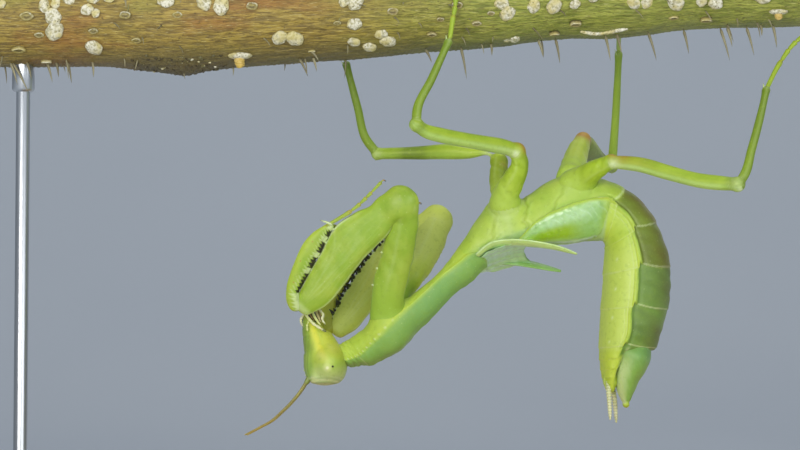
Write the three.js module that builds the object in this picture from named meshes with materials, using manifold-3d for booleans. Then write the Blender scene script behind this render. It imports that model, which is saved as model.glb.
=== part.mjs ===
// A praying mantis nymph that hangs under a twig, head down, and cleans its right front leg.
// The twig is a cut perch on two rods and a flat base. Millimetres, +Z up. The animal's head is
// towards -X, its right side faces -Y, and the origin is the middle of the base's underside.
import * as THREE from 'three';
import { mergeVertices } from 'three/addons/utils/BufferGeometryUtils.js';
import Module from 'manifold-3d';

const wasm = await Module();
wasm.setup();

// Driving dimensions.
const jointGap = 0.3;
const trunkRoll = THREE.MathUtils.degToRad(8);
const baseLength = 106;
const baseDepth = 48;
const baseThickness = 4;
const baseCorner = 5;
const rodRadius = 0.8;
const rodX = 46.5;
const rodTop = 56;

// How finely the solids are faceted, and how their ends are rounded.
const trunkSides = 18;
const headSides = 18;
const limbSides = 10;
const fineSides = 8;
const endRounding = 0.5;
const roundedEnd = 0.6;
const waistDepth = 0.06;

// Colours, as 0xRRGGBB.
const lime = 0xa9c83c;
const leafGreen = 0x86b52f;
const olive = 0x6f8a26;
const paleGreen = 0xb9d67a;
const cream = 0xd9d9a0;
const bark = 0x8a7a3a;
const steel = 0xb8bbbe;
const paleWood = 0xd9c8a4;

// ---- Solids from rings -------------------------------------------------------------------

const point = (xyz) => new THREE.Vector3(...xyz);

// A closed solid through rings of equal length, with a flat cap at each end.
function loft(rings) {
  const sides = rings[0].length;
  const places = [];
  const faces = [];
  rings.forEach((ring) => ring.forEach((corner) => places.push(corner.x, corner.y, corner.z)));
  for (let step = 0; step + 1 < rings.length; step += 1) {
    for (let side = 0; side < sides; side += 1) {
      const next = (side + 1) % sides;
      const low = step * sides;
      const high = low + sides;
      faces.push(low + side, low + next, high + next);
      faces.push(low + side, high + next, high + side);
    }
  }
  const ends = [[0, 1], [rings.length - 1, -1]];
  for (const [end, turn] of ends) {
    const middle = new THREE.Vector3();
    rings[end].forEach((corner) => middle.add(corner));
    middle.divideScalar(sides);
    const hub = places.length / 3;
    places.push(middle.x, middle.y, middle.z);
    for (let side = 0; side < sides; side += 1) {
      const here = end * sides + side;
      const next = end * sides + ((side + 1) % sides);
      faces.push(hub, turn > 0 ? next : here, turn > 0 ? here : next);
    }
  }
  const geometry = new THREE.BufferGeometry();
  geometry.setAttribute('position', new THREE.Float32BufferAttribute(places, 3));
  geometry.setIndex(faces);
  return outwards(geometry);
}

// The signed volume tells which way the faces point; a solid that is inside out is turned.
function outwards(geometry) {
  const place = geometry.getAttribute('position');
  const index = geometry.index.array;
  const a = new THREE.Vector3();
  const b = new THREE.Vector3();
  const c = new THREE.Vector3();
  let volume = 0;
  for (let i = 0; i < index.length; i += 3) {
    a.fromBufferAttribute(place, index[i]);
    b.fromBufferAttribute(place, index[i + 1]);
    c.fromBufferAttribute(place, index[i + 2]);
    volume += a.dot(b.cross(c));
  }
  if (volume < 0) {
    for (let i = 0; i < index.length; i += 3) {
      [index[i], index[i + 1]] = [index[i + 1], index[i]];
    }
  }
  return geometry;
}

// One number of a list of stations, read smoothly at any place between them.
function readStations(stations, at, column) {
  const last = stations.length - 1;
  const low = Math.min(Math.max(Math.floor(at), 0), last - 1);
  const part = at - low;
  const value = (i) => stations[Math.min(Math.max(i, 0), last)][column];
  const [before, start, end, after] = [value(low - 1), value(low), value(low + 1), value(low + 2)];
  const slopeIn = (end - before) / 2;
  const slopeOut = (after - start) / 2;
  const square = part * part;
  const cube = square * part;
  return (2 * cube - 3 * square + 1) * start + (cube - 2 * square + part) * slopeIn
    + (3 * square - 2 * cube) * end + (cube - square) * slopeOut;
}

// ---- Joining and cutting -----------------------------------------------------------------

function solidOf(geometry) {
  const bare = new THREE.BufferGeometry();
  bare.setAttribute('position', geometry.getAttribute('position').clone());
  bare.setIndex(geometry.index ? geometry.index.clone() : null);
  const merged = mergeVertices(bare, 1e-4);
  return new wasm.Manifold(new wasm.Mesh({
    numProp: 3,
    vertProperties: Float32Array.from(merged.getAttribute('position').array),
    triVerts: Uint32Array.from(merged.index.array),
  }));
}

function geometryOf(solid) {
  const mesh = solid.getMesh();
  const geometry = new THREE.BufferGeometry();
  geometry.setAttribute('position', new THREE.Float32BufferAttribute(mesh.vertProperties, 3));
  geometry.setIndex(Array.from(mesh.triVerts));
  return geometry;
}

// Cuts a piece back from its neighbours. Each neighbour is given already widened by the gap.
function clearOf(geometry, ...neighbours) {
  let solid = solidOf(geometry);
  for (const neighbour of neighbours) {
    solid = solid.subtract(solidOf(neighbour));
  }
  return geometryOf(solid);
}

// ---- Trunk -------------------------------------------------------------------------------

// The trunk's stations lie in the middle plane, Y = 0. Each is
// [back x, back z, belly x, belly z, where the side margin is from back to belly, half width].
// The animal hangs upside down, so its back is the lower outline.
const neckPoint = [-9.1, 16.2];
const prothoraxHeading = THREE.MathUtils.degToRad(39.3);
// Each is [distance from the neck, height of the back, depth of the belly, margin, half width].
const prothoraxStations = [
  [0.4, 1.9, 1.3, 0.45, 1.5],
  [1.6, 2.75, 1.1, 0.42, 2.0],
  [4.0, 3.0, 0.9, 0.5, 2.35],
  [7.0, 3.0, 0.65, 0.6, 2.5],
  [10.0, 2.85, 0.5, 0.7, 1.9],
  [13.7, 2.35, 0.5, 0.75, 1.65],
  [16.4, 2.5, 1.05, 0.62, 1.8],
  [18.7, 2.3, 1.7, 0.48, 2.1],
].map(([along, back, belly, margin, half]) => {
  const [c, s] = [Math.cos(prothoraxHeading), Math.sin(prothoraxHeading)];
  const place = (height) => [
    neckPoint[0] + along * c + height * s,
    neckPoint[1] + along * s - height * c,
  ];
  return [...place(back), ...place(-belly), margin, half];
});
const pterothoraxStations = [
  [9.9, 27.4, 7.2, 33.3, 0.32, 2.9],
  [13.0, 28.5, 11.0, 34.1, 0.35, 3.2],
  [16.5, 29.1, 14.4, 36.1, 0.5, 3.3],
  [19.0, 29.4, 18.4, 35.9, 0.65, 3.2],
];
const abdomenStations = [
  [20.2, 29.1, 20.6, 36.1, 0.72, 3.1],
  [20.5, 28.7, 24.3, 34.1, 0.68, 3.5],
  [20.5, 28.1, 26.6, 30.8, 0.58, 3.9],
  [20.35, 26.0, 27.8, 27.2, 0.54, 4.1],
  [20.2, 23.4, 28.0, 23.9, 0.52, 4.1],
  [20.0, 21.0, 27.6, 21.0, 0.53, 3.9],
  [19.85, 18.4, 26.8, 18.4, 0.5, 3.6],
  [19.9, 16.2, 25.9, 16.4, 0.42, 3.1],
  [20.2, 14.1, 24.9, 13.9, 0.36, 2.5],
  [20.7, 12.2, 24.1, 12.2, 0.36, 1.8],
  [21.7, 10.6, 23.5, 10.6, 0.4, 1.0],
];
const trunkStations = [...prothoraxStations, ...pterothoraxStations, ...abdomenStations];
const trunkEnd = trunkStations.length - 1;
const thoraxStart = prothoraxStations.length - 1;
const abdomenStart = prothoraxStations.length + pterothoraxStations.length;
const abdomenTipStart = abdomenStart + 6.5;

function trunkSection(at) {
  const [backX, backZ, bellyX, bellyZ, margin, half] = [0, 1, 2, 3, 4, 5]
    .map((column) => readStations(trunkStations, at, column));
  const back = new THREE.Vector3(backX, 0, backZ);
  const belly = new THREE.Vector3(bellyX, 0, bellyZ);
  return { back, belly, margin, half };
}

function trunkRing(at, extra = 0, size = 1) {
  const { back, belly, margin, half } = trunkSection(at);
  const across = belly.clone().sub(back).normalize();
  const left = new THREE.Vector3(0, 1, 0);
  const [c, s] = [Math.cos(trunkRoll), Math.sin(trunkRoll)];
  const depthwise = across.clone().multiplyScalar(c).addScaledVector(left, s);
  const sidewise = left.clone().multiplyScalar(c).addScaledVector(across, -s);
  const middle = back.clone().lerp(belly, margin);
  const toBack = middle.distanceTo(back) * size + extra;
  const toBelly = middle.distanceTo(belly) * size + extra;
  const ring = [];
  for (let side = 0; side < trunkSides; side += 1) {
    const angle = (2 * Math.PI * side) / trunkSides;
    const reach = Math.sin(angle) > 0 ? toBelly : toBack;
    ring.push(middle.clone()
      .addScaledVector(depthwise, Math.sin(angle) * reach)
      .addScaledVector(sidewise, Math.cos(angle) * (half * size + extra)));
  }
  return ring;
}

function trunkMiddle(at) {
  const { back, belly } = trunkSection(at);
  return back.lerp(belly, 0.5);
}

// A length of the trunk between two stations, drawn back by half the gap at each end.
function trunkPiece(from, to, steps, tip = false) {
  const pace = (at) => trunkMiddle(at + 0.05).distanceTo(trunkMiddle(at - 0.05)) / 0.1;
  const start = from + (from > 0 ? jointGap / 2 / pace(from) : 0);
  const end = to - (to < trunkEnd ? jointGap / 2 / pace(to) : 0);
  const rings = [];
  for (let step = 0; step <= steps; step += 1) {
    rings.push(trunkRing(start + ((end - start) * step) / steps));
  }
  if (tip) {
    rings.push(trunkRing(trunkEnd, 0, 0.5).map((corner) => corner.add(point([0.1, 0, -0.5]))));
  }
  return loft(rings);
}

// The trunk widened by the gap, to cut the legs and pads back from it.
function widerTrunk(from, to) {
  const rings = [];
  for (let at = from; at <= to + 1e-6; at += 0.5) {
    rings.push(trunkRing(at, jointGap));
  }
  return loft(rings);
}

// ---- Limbs -------------------------------------------------------------------------------

// A limb follows its route. Each of its sizes is [part of the route, half breadth on the outer
// side, half breadth on the inner side, half thickness]; outer is the side the guide points to.
function limbRings({ route, sizes, guide, sides, endScale }, extra) {
  const curve = new THREE.CatmullRomCurve3(route.map(point), false, 'centripetal');
  const length = curve.getLength();
  const rings = [];
  const addRing = (along, scale, shift) => {
    let low = 0;
    while (low < sizes.length - 2 && sizes[low + 1][0] < along) {
      low += 1;
    }
    const at = low + (along - sizes[low][0]) / (sizes[low + 1][0] - sizes[low][0]);
    const [outer, inner, thick] = [1, 2, 3].map((column) => readStations(sizes, at, column));
    const tangent = curve.getTangentAt(along);
    const broad = point(guide).addScaledVector(tangent, -point(guide).dot(tangent)).normalize();
    const flat = tangent.clone().cross(broad);
    const middle = curve.getPointAt(along).addScaledVector(tangent, shift);
    const ring = [];
    for (let side = 0; side < sides; side += 1) {
      const angle = (2 * Math.PI * side) / sides;
      const reach = (Math.cos(angle) > 0 ? outer : inner) * scale + extra;
      ring.push(middle.clone()
        .addScaledVector(broad, Math.cos(angle) * reach)
        .addScaledVector(flat, Math.sin(angle) * (thick * scale + extra)));
    }
    rings.push(ring);
  };
  const roundedPart = (size) => (Math.min(size[1], size[2], size[3]) * endRounding) / length;
  addRing(0, endScale, -extra);
  addRing(roundedPart(sizes[0]), 1, 0);
  sizes.slice(1, -1).forEach((size) => addRing(size[0], 1, 0));
  addRing(1 - roundedPart(sizes[sizes.length - 1]), 1, 0);
  addRing(1, endScale, extra);
  return rings;
}

// A limb with rounded ends, or the same limb widened by extra, to cut its neighbours back.
function limb(shape, extra = 0) {
  return loft(limbRings({ sides: limbSides, endScale: roundedEnd, ...shape }, extra));
}

// A limb of even taper from one half width to another, a little thinner between its joints.
function evenSizes(start, end) {
  return [0, 0.08, 0.5, 0.92, 1].map((part) => {
    const width = start + (end - start) * part - (part === 0.5 ? waistDepth : 0);
    return [part, width, width, width];
  });
}

// ---- Head --------------------------------------------------------------------------------

// Each is [height, face x, nape x, half width]; the crown hangs lowest, the mouth is on top.
const headStations = [
  [12.7, -12.7, -10.3, 1.3],
  [13.2, -13.5, -9.7, 2.2],
  [14.1, -14.0, -9.3, 2.7],
  [15.4, -14.05, -9.5, 2.75],
  [16.6, -14.0, -9.9, 2.4],
  [17.6, -14.05, -10.35, 2.0],
  [18.8, -14.2, -11.05, 1.6],
  [19.6, -14.1, -11.9, 1.35],
  [20.3, -13.8, -12.4, 1.05],
];
const mouthStations = [
  [20.6, -13.75, -12.4, 0.95],
  [21.0, -13.7, -12.45, 0.85],
  [21.4, -13.4, -12.7, 0.5],
];
const eyeMiddle = [-10.95, 2.25, 15.3];
const eyeRadii = [1.75, 1.35, 1.95];
const neck = { route: [[-10.4, 0, 16.6], [-8.3, 0, 16.9]], sizes: evenSizes(1.1, 1.1), guide: [0, 0, 1] };
// Each of these is the left one; the right one has Y the other way.
const palpRoute = [[-13.6, 1.7, 18.9], [-13.9, 1.75, 20.4], [-13.1, 1.8, 20.1], [-12.1, 1.9, 19.2]];
const antennaRoute = [
  [-13.75, 1.1, 13.15],
  [-14.5, 1.3, 11.8],
  [-15.4, 1.5, 10.7],
  [-16.6, 1.8, 9.5],
  [-17.6, 2.0, 8.6],
  [-19.0, 2.3, 7.8],
  [-20.7, 2.7, 6.9],
];

function headLoft(stations) {
  return loft(stations.map(([height, face, nape, half]) => {
    const ring = [];
    for (let side = 0; side < headSides; side += 1) {
      const angle = (2 * Math.PI * side) / headSides;
      const x = (face + nape) / 2 + (Math.cos(angle) * (nape - face)) / 2;
      ring.push(new THREE.Vector3(x, Math.sin(angle) * half, height));
    }
    return ring;
  }));
}

function eye(side, extra = 0) {
  const ball = new THREE.SphereGeometry(1, 16, 10);
  ball.scale(...eyeRadii.map((radius) => radius + extra));
  ball.translate(eyeMiddle[0], eyeMiddle[1] * side, eyeMiddle[2]);
  return ball;
}

// ---- Legs --------------------------------------------------------------------------------

// Right legs have negative Y. The joints of each leg, from the body to the foot.
const legRoutes = {
  fore_right: {
    coxa: [[-4.5, -1.6, 20.4], [-4.0, -3.6, 24.7], [-2.9, -5.2, 28.9], [-1.9, -6.3, 34.1]],
    femur: [[-2.6, -8.3, 34.5], [-8.8, -5.6, 27.6], [-14.8, -2.8, 20.9]],
    tibia: [[-15.0, -2.9, 21.3], [-15.2, -3.6, 22.8], [-14.0, -4.9, 26.5], [-11.8, -6.1, 29.5]],
    tarsus: [[-11.4, -6.4, 30.1], [-7.8, -7.3, 32.4], [-6.6, -7.7, 33.6], [-5.0, -8.1, 35.2]],
  },
  fore_left: {
    coxa: [[-4.0, 1.6, 20.6], [-1.2, 3.8, 25.1], [0.7, 5.4, 29.7], [1.8, 6.6, 33.6]],
    femur: [[1.4, 8.5, 33.0], [-4.3, 6.4, 26.0], [-10.3, 4.4, 18.7]],
    tibia: [[-10.6, 4.4, 19.0], [-11.1, 4.7, 20.6], [-9.9, 5.5, 24.5], [-7.6, 6.4, 28.0]],
    tarsus: [[-7.2, 6.6, 28.6], [-3.8, 7.4, 31.0], [-2.7, 7.8, 32.2], [-1.0, 8.3, 34.0]],
  },
  mid_right: {
    coxa: [[9.2, -1.0, 32.6], [10.1, -3.2, 36.1], [10.7, -4.8, 38.9]],
    femur: [[11.0, -5.2, 39.4], [4.4, -9.0, 40.4], [-1.9, -12.8, 41.1]],
    tibia: [[-1.7, -12.8, 41.3], [-0.8, -11.8, 43.7], [0.8, -9.9, 47.7], [2.7, -7.9, 51.7]],
    tarsus: [[2.75, -7.75, 52.1], [2.9, -7.45, 53.7], [3.2, -7.35, 55.4], [3.4, -7.5, 58.6]],
  },
  mid_left: {
    coxa: [[8.9, 1.0, 32.8], [8.3, 3.2, 36.5], [8.2, 4.8, 39.4]],
    femur: [[8.3, 5.2, 39.8], [0.9, 7.5, 39.9], [-6.5, 9.8, 40.2]],
    tibia: [[-6.5, 9.8, 40.6], [-7.7, 9.2, 43.7], [-8.8, 8.6, 47.8], [-9.7, 8.2, 51.1]],
    tarsus: [[-9.75, 8.15, 51.5], [-10.0, 7.9, 53.0], [-10.3, 7.7, 54.9], [-10.4, 7.6, 58.4]],
  },
  hind_right: {
    coxa: [[15.4, -1.2, 33.9], [17.9, -3.6, 36.1], [20.2, -5.3, 37.8]],
    femur: [[20.8, -5.6, 38.0], [28.3, -9.5, 36.1], [34.7, -13.0, 34.5]],
    tibia: [[34.7, -13.0, 34.7], [36.1, -10.0, 38.7], [37.5, -7.0, 42.6], [38.8, -4.4, 46.1]],
    tarsus: [[38.9, -4.2, 46.5], [40.4, -3.2, 49.5], [42.9, -2.2, 52.2], [45.6, -2.2, 53.3]],
  },
  hind_left: {
    coxa: [[16.4, 1.0, 34.6], [17.6, 4.4, 38.9], [18.5, 6.4, 42.2]],
    femur: [[18.9, 7.3, 42.0], [20.9, 14.0, 40.4], [22.8, 21.3, 39.0]],
    tibia: [[22.8, 21.3, 39.2], [23.0, 19.5, 44.0], [23.1, 17.3, 49.2], [23.2, 15.5, 53.2]],
    tarsus: [[23.2, 15.3, 53.6], [23.0, 12.5, 54.7], [22.8, 9.8, 55.8], [22.7, 7.35, 58.2]],
  },
};
const walkingGuides = { coxa: [1, 0, 0], femur: [0, 0, 1], tibia: [1, 0, 0], tarsus: [1, 0, 0] };
const legShapes = {
  fore: {
    coxa: [
      [0, 1.3, 1.3, 1.1],
      [0.25, 1.95, 1.85, 1.2],
      [0.6, 1.9, 1.8, 1.15],
      [0.9, 1.7, 1.75, 1.05],
      [1, 1.4, 1.4, 0.9],
    ],
    femur: [
      [0, 1.4, 1.5, 1.0],
      [0.13, 1.75, 1.7, 1.15],
      [0.28, 2.3, 1.9, 1.2],
      [0.42, 3.05, 1.75, 1.15],
      [0.6, 2.6, 1.75, 1.05],
      [0.76, 2.0, 1.95, 0.95],
      [0.88, 1.55, 1.7, 0.85],
      [1, 0.9, 0.95, 0.75],
    ],
    tibia: [[0, 0.65, 0.6, 0.55], [0.1, 0.9, 0.75, 0.65], [0.6, 0.85, 0.7, 0.6], [1, 0.65, 0.6, 0.5]],
    tarsus: evenSizes(0.32, 0.26),
    guides: { coxa: [-1, 0, 0.3], femur: [-0.76, 0, 0.65], tibia: [-1, 0, 0.4], tarsus: [-1, 0, 1] },
  },
  mid: {
    coxa: [[0, 1.5, 1.6, 1.3], [0.5, 1.35, 1.3, 1.15], [0.9, 1.15, 1.05, 1.0], [1, 0.9, 0.9, 0.85]],
    femur: evenSizes(0.98, 0.85),
    tibia: evenSizes(0.52, 0.42),
    tarsus: evenSizes(0.32, 0.27),
    guides: walkingGuides,
  },
  hind: {
    coxa: [[0, 2.1, 2.1, 1.5], [0.5, 1.8, 1.7, 1.35], [0.9, 1.15, 1.1, 1.0], [1, 0.9, 0.85, 0.8]],
    femur: evenSizes(0.86, 0.76),
    tibia: evenSizes(0.52, 0.4),
    tarsus: evenSizes(0.34, 0.27),
    guides: walkingGuides,
  },
};

// ---- Wing pads and cerci -----------------------------------------------------------------

const wingPadSizes = [
  [0, 0.5, 0.5, 0.3],
  [0.25, 1.0, 1.0, 0.35],
  [0.6, 0.9, 0.7, 0.33],
  [0.9, 0.4, 0.4, 0.28],
  [1, 0.27, 0.27, 0.27],
];
const hindPadSizes = [[0, 0.6, 0.6, 0.5], [0.3, 1.7, 1.4, 1.0], [0.7, 2.2, 1.9, 1.1], [1, 1.9, 1.7, 0.9]];
const wingPads = {
  wing_pad_right: {
    route: [[6.0, -2.2, 27.4], [8.5, -3.0, 28.3], [12.3, -3.5, 28.3], [16.9, -4.0, 27.55]],
    guide: [0, -0.86, 0.5],
    sizes: wingPadSizes,
  },
  wing_pad_left: {
    route: [[6.4, 2.2, 26.9], [8.9, 2.9, 27.2], [12.3, 3.5, 26.7], [15.7, 4.0, 25.9]],
    guide: [0, 0.86, 0.5],
    sizes: wingPadSizes,
  },
  hind_wing_pad_right: {
    route: [[11.2, -2.6, 29.3], [13.7, -2.8, 30.2], [16.7, -2.8, 31.0], [19.6, -2.7, 31.4]],
    guide: [0, -0.5, 0.85],
    sizes: hindPadSizes,
  },
  hind_wing_pad_left: {
    route: [[11.2, 2.6, 29.3], [13.7, 2.8, 30.2], [16.7, 2.8, 31.0], [19.6, 2.7, 31.4]],
    guide: [0, 0.5, 0.85],
    sizes: hindPadSizes,
  },
};
const cerci = {
  cercus_right: [[20.7, -0.9, 12.9], [20.8, -1.0, 10.9], [20.9, -1.2, 8.7]],
  cercus_left: [[21.4, 0.9, 12.6], [21.7, 1.0, 10.9], [21.8, 1.2, 8.4]],
};

// ---- Perch and stand ---------------------------------------------------------------------

// The twig's middle line and, at parts of its length, its radius: it is thickest at a knot.
const twig = {
  route: [
    [-50.5, 0, 56.2],
    [-37, 0, 56.2],
    [-28.4, 0, 55.7],
    [-20, 0, 56.3],
    [-9.4, 0, 56.9],
    [8.5, 0, 58.4],
    [31.6, 0, 60.1],
    [50.5, 0, 60.9],
  ],
  sizes: [[0, 6.9], [0.13, 7], [0.22, 7.3], [0.3, 6.9], [0.4, 6.7], [0.6, 6.6], [0.8, 6.5], [1, 6.4]]
    .map(([part, radius]) => [part, radius, radius, radius]),
  guide: [0, 0, -1],
  sides: 24,
  endScale: 1,
};

function baseOutline() {
  const outline = new THREE.Shape();
  const [x, y] = [baseLength / 2 - baseCorner, baseDepth / 2 - baseCorner];
  const quarter = Math.PI / 2;
  [[x, -y], [x, y], [-x, y], [-x, -y]].forEach(([cornerX, cornerY], turn) => {
    outline.absarc(cornerX, cornerY, baseCorner, (turn - 1) * quarter, turn * quarter);
  });
  outline.closePath();
  return outline;
}

// ---- The model ---------------------------------------------------------------------------

const mantis = new THREE.Group();

function addPart(name, geometry, color, roughness = 0.45, metalness = 0) {
  const material = new THREE.MeshStandardMaterial({ color, roughness, metalness });
  const mesh = new THREE.Mesh(geometry, material);
  mesh.name = name;
  mantis.add(mesh);
}

function addTrunk() {
  addPart('prothorax', trunkPiece(0, thoraxStart, 9), lime);
  addPart('mesothorax', trunkPiece(thoraxStart, thoraxStart + 2, 4), lime);
  addPart('metathorax', trunkPiece(thoraxStart + 2, abdomenStart, 4), lime);
  addPart('abdomen_base', trunkPiece(abdomenStart, abdomenStart + 2, 3), leafGreen);
  addPart('abdomen_front', trunkPiece(abdomenStart + 2, abdomenStart + 3.5, 3), olive);
  addPart('abdomen_middle', trunkPiece(abdomenStart + 3.5, abdomenStart + 5, 3), leafGreen);
  addPart('abdomen_rear', trunkPiece(abdomenStart + 5, abdomenTipStart, 3), olive);
  addPart('abdomen_tip', trunkPiece(abdomenTipStart, trunkEnd, 5, true), leafGreen);
  const tip = widerTrunk(abdomenTipStart, trunkEnd);
  for (const [name, route] of Object.entries(cerci)) {
    const cercus = limb({ route, sizes: evenSizes(0.3, 0.27), guide: [1, 0, 0], sides: fineSides });
    addPart(name, clearOf(cercus, tip), cream);
  }
}

function addHead() {
  const sockets = [eye(1, jointGap), eye(-1, jointGap)];
  addPart('head', clearOf(headLoft(headStations), ...sockets, limb(neck, jointGap)), paleGreen);
  addPart('neck', clearOf(limb(neck), widerTrunk(0, 3)), lime);
  addPart('mouthparts', headLoft(mouthStations), cream);
  for (const [name, side] of [['right', -1], ['left', 1]]) {
    const feeler = (route, sizes) => limb({
      route: route.map(([x, y, z]) => [x, y * side, z]),
      sizes,
      guide: [0, 1, 0],
      sides: fineSides,
    });
    addPart(`eye_${name}`, eye(side), paleGreen, 0.2);
    addPart(`palp_${name}`, feeler(palpRoute, evenSizes(0.27, 0.26)), cream);
    addPart(`antenna_${name}`, feeler(antennaRoute, evenSizes(0.3, 0.26)), olive);
  }
}

function addWingPads() {
  const thorax = widerTrunk(thoraxStart - 2, abdomenStart + 1);
  for (const [name, pad] of Object.entries(wingPads)) {
    addPart(name, clearOf(limb(pad), thorax), paleGreen);
  }
}

function addLegs() {
  const thorax = widerTrunk(0, abdomenStart + 1);
  for (const [name, routes] of Object.entries(legRoutes)) {
    const shapes = legShapes[name.split('_')[0]];
    const piece = (part, extra = 0) => limb({
      route: routes[part],
      sizes: shapes[part],
      guide: shapes.guides[part],
      sides: part === 'tarsus' ? fineSides : limbSides,
    }, extra);
    addPart(`coxa_${name}`, clearOf(piece('coxa'), thorax), lime);
    addPart(`femur_${name}`, clearOf(piece('femur'), piece('coxa', jointGap)), leafGreen);
    addPart(`tibia_${name}`, clearOf(piece('tibia'), piece('femur', jointGap)), leafGreen);
    const besides = [piece('tibia', jointGap), piece('femur', jointGap)];
    addPart(`tarsus_${name}`, clearOf(piece('tarsus'), ...besides), paleGreen);
  }
}

function addPerchAndStand() {
  addPart('perch_twig', limb(twig), bark, 0.8);
  const base = new THREE.ExtrudeGeometry(baseOutline(), {
    depth: baseThickness,
    bevelEnabled: false,
    curveSegments: 5,
  });
  addPart('stand_base', base, paleWood, 0.5);
  for (const [name, x] of [['left', -rodX], ['right', rodX]]) {
    const bottom = baseThickness + jointGap;
    const height = rodTop - bottom;
    const rod = new THREE.CylinderGeometry(rodRadius, rodRadius, height, 16);
    rod.rotateX(Math.PI / 2);
    rod.translate(x, 0, bottom + height / 2);
    addPart(`stand_rod_${name}`, clearOf(rod, limb(twig, jointGap)), steel, 0.3, 1);
  }
}

addTrunk();
addHead();
addWingPads();
addLegs();
addPerchAndStand();

export default mantis;
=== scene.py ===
"""A life-size praying mantis nymph that hangs under a cut twig, on a plain display stand.

Shapes are written in millimetres and become metres once, in `piece`. The head is towards -X and
the right side faces -Y. The animal hangs upside down, so its back is the lower side.
"""

import math
import random

import bmesh
import bpy
import numpy as np
from mathutils import Matrix, Vector


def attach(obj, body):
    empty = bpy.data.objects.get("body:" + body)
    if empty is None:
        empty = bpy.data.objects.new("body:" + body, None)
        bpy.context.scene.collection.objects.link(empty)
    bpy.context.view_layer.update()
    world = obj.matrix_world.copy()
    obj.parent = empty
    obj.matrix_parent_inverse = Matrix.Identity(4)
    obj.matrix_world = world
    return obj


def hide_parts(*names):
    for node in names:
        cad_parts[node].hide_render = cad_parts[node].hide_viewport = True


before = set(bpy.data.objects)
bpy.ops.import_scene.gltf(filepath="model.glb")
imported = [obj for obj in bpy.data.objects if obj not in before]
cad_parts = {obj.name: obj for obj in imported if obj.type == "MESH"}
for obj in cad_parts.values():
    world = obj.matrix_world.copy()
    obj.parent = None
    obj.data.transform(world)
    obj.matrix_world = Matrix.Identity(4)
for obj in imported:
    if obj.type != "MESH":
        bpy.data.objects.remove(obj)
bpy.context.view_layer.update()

MM = 0.001
TURN = 2 * math.pi
WELD = 1e-5
# Right-hand parts have negative Y.
SIDE_OF = {"right": -1, "left": 1}
# The values that a skin's vertices carry, and that its finish paints by.
MARKS = ("leaf", "blue", "deep", "edge", "yellow", "pale", "brown", "black", "root", "along")


# ---- Camera ----

CAMERA_PLACE = (-3.05, -349.15, 6.585)
CAMERA_RISE = math.radians(4)
VIEW_WIDTH = 92
VIEW_DISTANCE = 350
SENSOR = 36


def set_up_camera():
    lens = bpy.data.cameras.new("camera")
    lens.sensor_width = SENSOR
    lens.lens = SENSOR * VIEW_DISTANCE / VIEW_WIDTH
    lens.clip_start = 0.01
    camera = bpy.data.objects.new("camera", lens)
    camera.location = Vector(CAMERA_PLACE) * MM
    camera.rotation_euler = (math.pi / 2 + CAMERA_RISE, 0, 0)
    bpy.context.scene.collection.objects.link(camera)
    bpy.context.scene.camera = camera


# ---- Numbers ----

def ease(value, low, high):
    """0 at low, 1 at high, and a soft S between them."""
    part = np.clip((value - low) / (high - low), 0, 1)
    return part * part * (3 - 2 * part)


def hump(value, middle, width):
    """1 at the middle, and next to nothing two widths away."""
    return np.exp(-(((value - middle) / width) ** 2))


def between(value, low, high, soft):
    """1 from low to high, with soft edges."""
    return ease(value, low - soft, low + soft) * (1 - ease(value, high - soft, high + soft))


def rounded(part):
    """The height of a quarter circle, from 0 at its end to 1 where it levels out."""
    return np.sqrt(1 - (1 - np.clip(part, 0, 1)) ** 2)


def unit(vectors):
    return vectors / np.maximum(np.linalg.norm(vectors, axis=-1, keepdims=True), 1e-9)


def smooth(stations, at):
    """Numbers read smoothly between stations. Each station starts with its own place."""
    table = np.array(stations, float)
    places = table[:, 0]
    values = table[:, 1:]
    slopes = np.gradient(values, places, axis=0)
    at = np.clip(np.atleast_1d(at), places[0], places[-1])
    low = np.clip(np.searchsorted(places, at, side="right") - 1, 0, len(places) - 2)
    gap = (places[low + 1] - places[low])[:, None]
    part = (at - places[low])[:, None] / gap
    square = part ** 2
    cube = part ** 3
    return (
        (2 * cube - 3 * square + 1) * values[low]
        + (cube - 2 * square + part) * gap * slopes[low]
        + (3 * square - 2 * cube) * values[low + 1]
        + (cube - square) * gap * slopes[low + 1]
    )


class Route:
    """A smooth line through points. Its parts run from 0 at the start to 1 at the end."""

    def __init__(self, points):
        points = np.array(points, float)
        steps = np.linalg.norm(np.diff(points, axis=0), axis=1)
        self.length = steps.sum()
        places = np.append(0, np.cumsum(steps)) / self.length
        self.stations = np.column_stack([places, points])

    def point(self, part):
        return smooth(self.stations, part)

    def heading(self, part, reach=0.01):
        ahead = self.point(np.minimum(part + reach, 1))
        return unit(ahead - self.point(np.maximum(part - reach, 0)))

    def axes(self, part, guide):
        """The heading, the guide squared up to it, and the side that is left."""
        heading = self.heading(part)
        guide = np.array(guide, float)
        broad = unit(guide - heading * (heading @ guide)[:, None])
        return heading, broad, np.cross(heading, broad)


def swell(points, middle, radii, blend):
    """Pushes points out of a rounded lump, and eases the skin into it round about."""
    away = (points - np.array(middle, float)) / np.array(radii, float)
    reach = np.maximum(np.linalg.norm(away, axis=1), 1e-6)
    gap = np.clip(0.5 + 0.5 * (1 - reach) / blend, 0, 1)
    swollen = reach * (1 - gap) + gap + blend * gap * (1 - gap)
    return np.array(middle, float) + away * (swollen / reach)[:, None] * np.array(radii, float)


def wobble(seed, waves, along, angle):
    """A gentle seeded unevenness of about -1 to 1, with about so many waves along and round a part."""
    draw = random.Random(seed)
    total = 0
    for _ in range(6):
        phase = draw.uniform(0, TURN)
        for count, coordinate in zip(waves, (along, angle / TURN)):
            phase = phase + coordinate * round(count * draw.uniform(0.5, 1.5)) * TURN
        total = total + np.sin(phase)
    return total / 3


# ---- Skins ----

def new_skin():
    bm = bmesh.new()
    for mark in MARKS:
        bm.verts.layers.float.new(mark)
    return bm


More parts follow.
